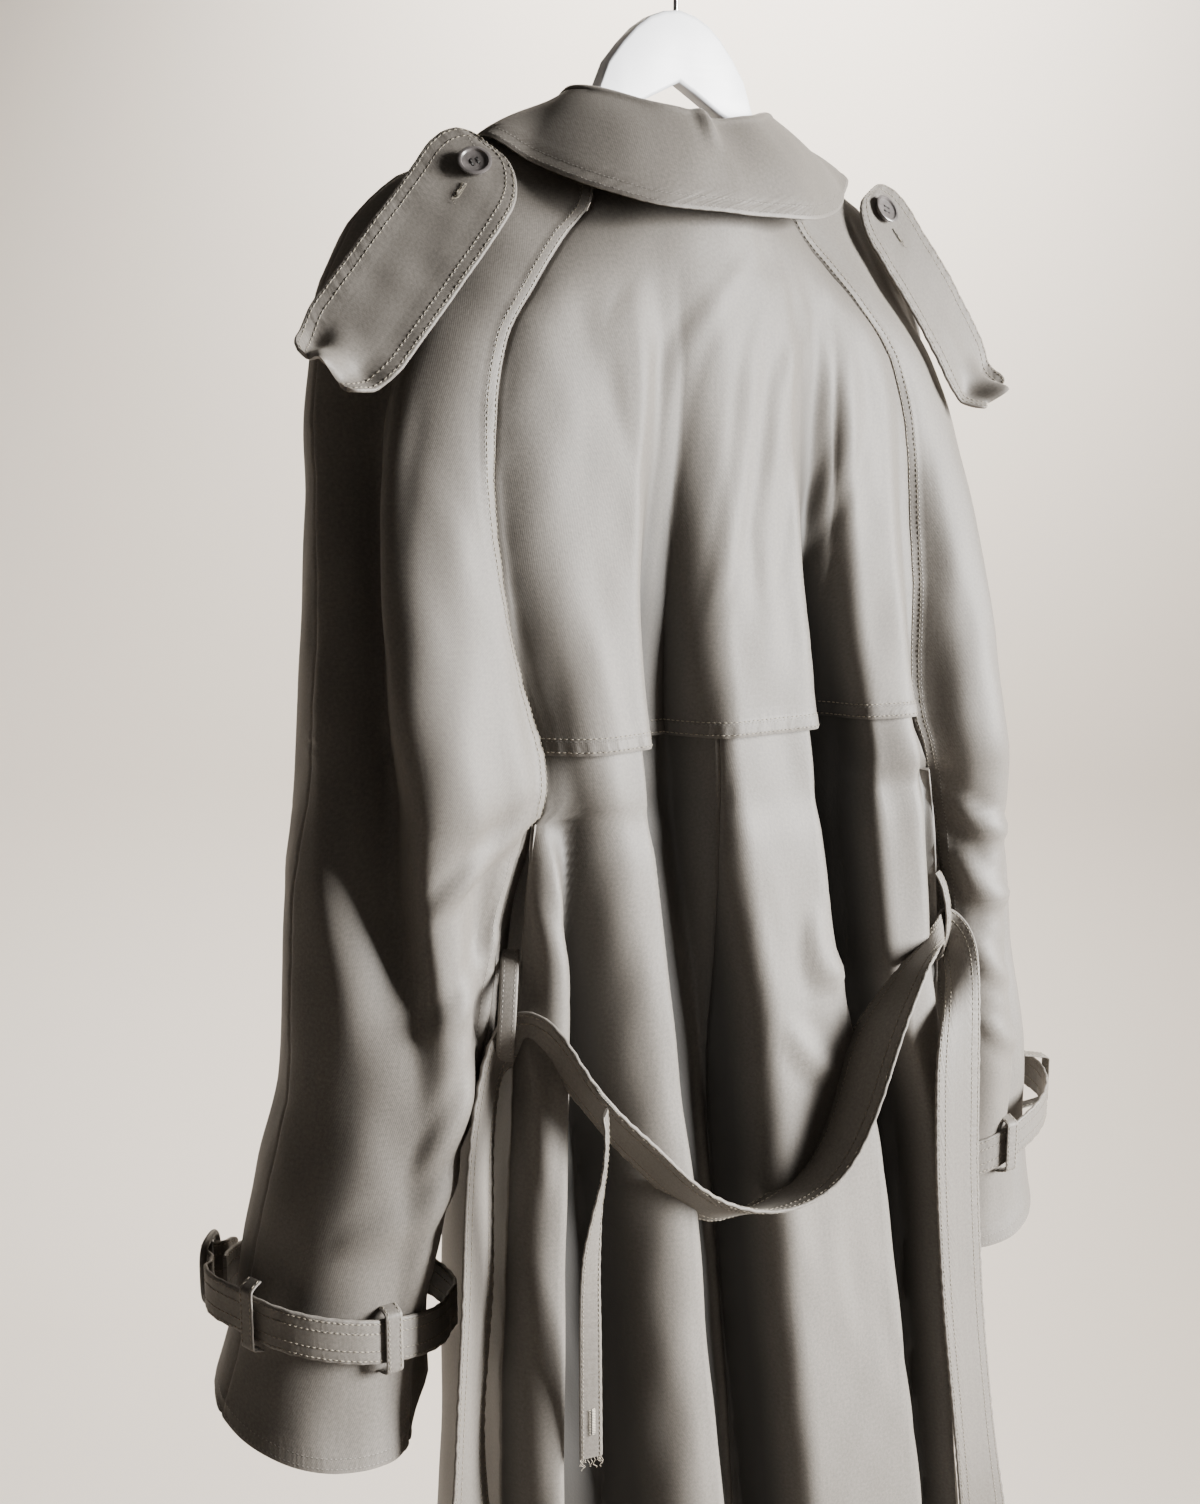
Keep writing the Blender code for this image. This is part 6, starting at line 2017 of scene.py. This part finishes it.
for name, side in SIDES.items():
    face, out = epaulette_faces[name]
    centre = middle_of(f"epaulette_button_{name}")
    row, column = nearest(face, centre)
    outward = unit(out[row - 6:row + 7, column - 3:column + 4].mean((0, 1)))
    upward = unit(face[max(row - 6, 0), column] - face[row + 6, column])
    sew_button(f"shoulder_button_{name}", f"epaulette_button_{name}", centre, outward, upward, spin=45)

# %% Sew on the closing buttons
BUTTON_HEIGHTS = (-442, -572, -712, -850)
for number, z in enumerate(BUTTON_HEIGHTS, 1):
    line = front_line(z, -1.0, 0.0)
    for column in ("inner", "outer"):
        centre = middle_of(f"front_button_{column}_{number}")
        near = int(np.argmin(np.abs(-line[:, 0] - centre[0])))
        run = line[near + 6] - line[near - 6]
        outward = unit(np.array([run[1], -run[0], 0.0])) * (-1, 1, 1)
        sew_button(f"closing_button_{column}_{number}", f"front_button_{column}_{number}", centre, outward,
                   (0, 0, 1), FRONT_BUTTON / BUTTON)
bpy.data.objects.remove(button)
print("closing buttons:", 2 * len(BUTTON_HEIGHTS))

# %% [markdown]
# A buttonhole is a slit whose edges are wrapped with close stitches, so it is one thread
# that zigzags over a dark line; that line is a tube of near-black thread, painted shade in
# the slit. On this worn coat some thread has come loose beside the shoulder buttons, and
# the raw foot of the belt's tab has frayed.

# %% Work the buttonholes
def buttonhole(line, across, out, thread, reach=1.5, thick=0.26):
    """Close stitches along a slit: line is its middle, across and out are directions."""
    turns = np.where(np.arange(len(line)) % 2, reach, -reach)[:, None]
    # The slit is a thin tube of near-black thread, painted shade in the cut.
    return [tube("slit", line + out * 0.1, 0.3 * reach, THREAD_DARK, 6),
            tube("wrap", line + across * turns + out * 0.25, thick, thread, 6)]


def loose_end(start, run, across, out, length, number, thread):
    """A loose thread that wanders away from where it starts."""
    part = np.linspace(0, 1, 14)[:, None]
    wave = np.sin(part * (6 + 2 * number) + number) * part * length * 0.22
    path = start + run * part * length + across * wave + out * (0.2 + 0.9 * part)
    return tube("loose", path, 0.14, thread, 5)


def line_and_across(line, outward):
    """Directions along a line and across it, on a cloth that faces outward."""
    run = unit(line[-1] - line[0])
    return run, np.cross(run, outward)


for name in SIDES:
    face, out = epaulette_faces[name]
    row, column = nearest(face, middle_of(f"epaulette_button_{name}"))
    start = arc(face[:, column])[row] + 14
    outward = out[row + 6, column]
    line = pick(face[:, column], np.linspace(start, start + 11, 26)) + outward * 1.3
    run, across = line_and_across(line, outward)
    work = buttonhole(line, across, outward, THREAD_PALE)
    for number in range(1, 5):
        work.append(loose_end(line[4 * number], run, across, outward, 5.0 + number, number, THREAD_PALE))
    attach(join(f"shoulder_buttonhole_{name}", work), "root")
print("shoulder buttonholes:", list(SIDES))

# %% [markdown]
# The tab and the belt have two faces, so the work goes on the one that is turned to the eye.

# %% Work the tab's hole and the belt's slit
tab = CLOTHS["belt_tab_cloth"]
belt = CLOTHS["belt_cloth"]
to_eye = unit(np.array(EYE) - tab["outer"][-1, 0])


def seen_side(band, row, column):
    """The face of a band that is turned to the eye, and its direction outwards there."""
    out = unit(band["out"][row, column])
    if out @ to_eye > 0:
        return band["outer"], out
    return band["inner"], -out


middle = tab["outer"].shape[1] // 2
face, outward = seen_side(tab, -6, middle)
whole = arc(face[:, middle])[-1]
line = pick(face[:, middle], np.linspace(whole - 34, whole - 16, 34)) + outward * 0.2
run, across = line_and_across(line, outward)
work = buttonhole(line, across, outward, THREAD_RAW, 2.2, 0.42)
for number in range(12):
    place = face[-1, 1 + number * (face.shape[1] - 3) // 11] - outward * 0.8
    work.append(loose_end(place, run, across, outward, 2.5 + 1.7 * (number * 5 % 4), number % 5, THREAD_RAW))
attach(join("belt_tab_buttonhole", work), "root")

row, column = nearest(belt["outer"], np.array([TAB["x"][0], TAB["y"][0], TAB["z"][0]]))
face, outward = seen_side(belt, row, column)
line = even(face[row - 2:row + 3, column] + outward * 0.2, 24)
run, across = line_and_across(line, outward)
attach(join("belt_slit", buttonhole(line, across, outward, THREAD_PALE)), "root")

# %% [markdown]
# ## Buckles
# A buckle is a stiff frame covered with leather, with one bar across its middle that the
# strap is held by. The frame starts as a torus that is squared off, so that it keeps its
# round section, and the bar is a rounded rod let into it.

# %% Leather
def leather(name, colour):
    """Smooth dark leather with fine pores and worn high places."""
    mix = Mix(name, 0.48)
    pores = mix.node("TexVoronoi", "Distance", {"Vector": mix.place(), "Scale": 1100.0},
                     feature="DISTANCE_TO_EDGE")
    clouds = mix.noise(mix.place(), 90.0, 4.0)
    mix.feed("Base Color", mix.ramp(clouds, [(0.3, shade(colour, 0.7)), (0.55, colour),
                                             (0.75, shade(colour, 1.5))]))
    mix.lift([(clouds, 0.3, 0.0004), (pores, 0.35, 0.0002)])
    mix.feed("Roughness", mix.plus(mix.times(clouds, 0.25), 0.36))
    return mix.material


LEATHER = leather("buckle_leather", (0.085, 0.078, 0.066))
print("finish:", LEATHER.name)

# %% Cover the buckles
RING_TUBE = 0.2         # radius of the torus's tube, for a ring of radius 1
SQUARED = 3.4           # 2 leaves the ring round, more makes it squarer
BUCKLE_THICK = 4.6      # from its front to its back


def cover_buckle(name, node, centre, outward, width, height, bar):
    """A covered buckle in its node's place: a squared ring with a rod across its middle."""
    bpy.ops.mesh.primitive_torus_add(major_segments=72, minor_segments=18, major_radius=1.0,
                                     minor_radius=RING_TUBE)
    ring = bpy.context.active_object
    size = np.array([vert.co for vert in ring.data.vertices])
    around = np.arctan2(size[:, 1], size[:, 0])
    out_by = np.hypot(size[:, 0], size[:, 1]) - 1.0
    squared = (np.abs(np.cos(around)) ** SQUARED + np.abs(np.sin(around)) ** SQUARED) ** (-1 / SQUARED)
    half = np.array([(width - bar) / 2, (height - bar) / 2])
    inward = unit(np.stack([np.cos(around) * half[1], np.sin(around) * half[0]], 1))
    flat = np.stack([np.cos(around) * squared * half[0], np.sin(around) * squared * half[1]], 1)
    flat = flat + inward * (out_by / RING_TUBE * bar / 2)[:, None]
    points = np.c_[flat, size[:, 2] / RING_TUBE * BUCKLE_THICK / 2]
    ring.data.vertices.foreach_set("co", (points * MM).astype(np.float32).ravel())
    bpy.ops.mesh.primitive_cylinder_add(vertices=24, radius=bar / 2 * 0.92 * MM,
                                        depth=(height - bar * 1.1) * MM, rotation=(math.pi / 2, 0, 0))
    rod = bpy.context.active_object
    bpy.ops.object.transform_apply(location=False, rotation=True, scale=False)
    rod.data.transform(Matrix.Diagonal((1.0, 1.0, 0.85, 1.0)))
    made = join(name, [ring, rod])
    made.data.transform(stand(centre, outward, (0, 0, 1)))
    made.data.shade_smooth()
    made.data.set_sharp_from_angle(angle=math.radians(50))
    made.data.materials.clear()
    made.data.materials.append(LEATHER)
    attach(made, "root")
    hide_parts(node)


for name in SIDES:
    middle, outward = buckle_places[name]
    cover_buckle(f"cuff_buckle_{name}_covered", f"cuff_buckle_{name}", middle, outward, 2 * BAR_PITCH + 5.0,
                 STRAP_WIDTH + 15.0, 5.0)
BELT_BUCKLE = 54.0      # height of the belt's buckle
belt_end = belt_path[0].reshape(2, 3)
belt_end_out = np.cross(belt_end[1] - belt_end[0], (0, 0, 1.0))
cover_buckle("belt_buckle_covered", "belt_buckle", belt_end.mean(0) - (0, 0, BELT_BUCKLE / 2 + 0.5),
             belt_end_out, 63.0, BELT_BUCKLE, 6.0)

# %% [markdown]
# ## The hanger
# The hanger is a board of painted wood with softened edges, and a steel hook. The frame
# already has the board's outline, so a copy of it is welded and its edges are rounded by a
# bevel. The paint is thick and satin white, a little greyer in its faint dips.

# %% Paint and steel
def paint(name, colour):
    """Thick satin paint on wood, with brush marks along the board."""
    mix = Mix(name, 0.42)
    brush = mix.noise(mix.mapped(mix.place(), (20, 300, 260)), 1.0, 4.0)
    dips = mix.noise(mix.place(), 35.0, 3.0)
    mix.feed("Base Color", mix.ramp(dips, [(0.3, shade(colour, 0.93)), (0.6, colour)]))
    mix.lift([(dips, 0.15, 0.0008), (brush, 0.2, 0.0003)])
    mix.feed("Roughness", mix.plus(mix.times(brush, 0.15), 0.32))
    mix.set("Coat Weight", 0.15)
    mix.set("Coat Roughness", 0.3)
    return mix.material


def steel(name):
    """Polished steel wire with faint drawing marks."""
    mix = Mix(name, 0.22, 1.0)
    marks = mix.noise(mix.mapped(mix.place(), (2600, 2600, 60)), 1.0, 2.0)
    mix.feed("Base Color", mix.ramp(marks, [(0.3, (0.50, 0.50, 0.51)), (0.7, (0.66, 0.66, 0.67))]))
    mix.feed("Roughness", mix.plus(mix.times(marks, 0.2), 0.14))
    return mix.material


PAINT = paint("white_paint", (0.86, 0.87, 0.90))
STEEL = steel("hook_steel")
print("finishes:", PAINT.name, STEEL.name)

# %% Round the board's edges
BOARD_ROUND = 2.6       # radius of its edges

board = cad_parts["hanger"].copy()
board.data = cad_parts["hanger"].data.copy()
board.parent = None
for key in list(board.keys()):
    del board[key]
bpy.context.scene.collection.objects.link(board)
board.name = "hanger_board"
edit_mode_on(board)
bpy.ops.mesh.select_all(action="SELECT")
bpy.ops.mesh.remove_doubles(threshold=1e-5)
bpy.ops.mesh.tris_convert_to_quads()
edit_mode_off()
softened_edges = board.modifiers.new("rounding", "BEVEL")
softened_edges.width = BOARD_ROUND * MM
softened_edges.segments = 5
softened_edges.limit_method = "ANGLE"
softened_edges.angle_limit = math.radians(60)
apply_all(board)
board.data.shade_smooth()
board.data.set_sharp_from_angle(angle=math.radians(40))
board.data.materials.clear()
board.data.materials.append(PAINT)
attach(board, "root")
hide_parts("hanger")
print("board:", len(board.data.polygons), "faces")

# %% [markdown]
# The hook is one bent wire: straight out of the board, a small set to one side, and then
# round the rail in three quarters of a circle. It is a tube along that path, as thread is.

# %% Bend the hook
HOOK_WIRE = 1.6         # radius of the wire
HOOK_INSIDE = 16.0      # inner radius of the bend
BOARD_DOME = -58.0      # top of the board
ring = HOOK_INSIDE + HOOK_WIRE
wire = [(0, 0, BOARD_DOME - 3), (0, 0, -50), (0.8, 0, -43.5), (4.5, 0, -38)]
for angle in range(-50, 215, 5):
    turn = math.radians(angle)
    wire.append((ring * math.cos(turn), 0, -HOOK_INSIDE + ring * math.sin(turn)))
hook = tube("hanger_hook", wire, HOOK_WIRE, STEEL, 16, 120)
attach(hook, "root")
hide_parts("hook")
print("hook:", len(hook.data.polygons), "faces")

# %% [markdown]
# ## The pieces of cloth
# The list of sheets holds the size to which each piece of cloth was cut, and how it is held.

print("sheets:", len(CLOTHS))

# %% [markdown]
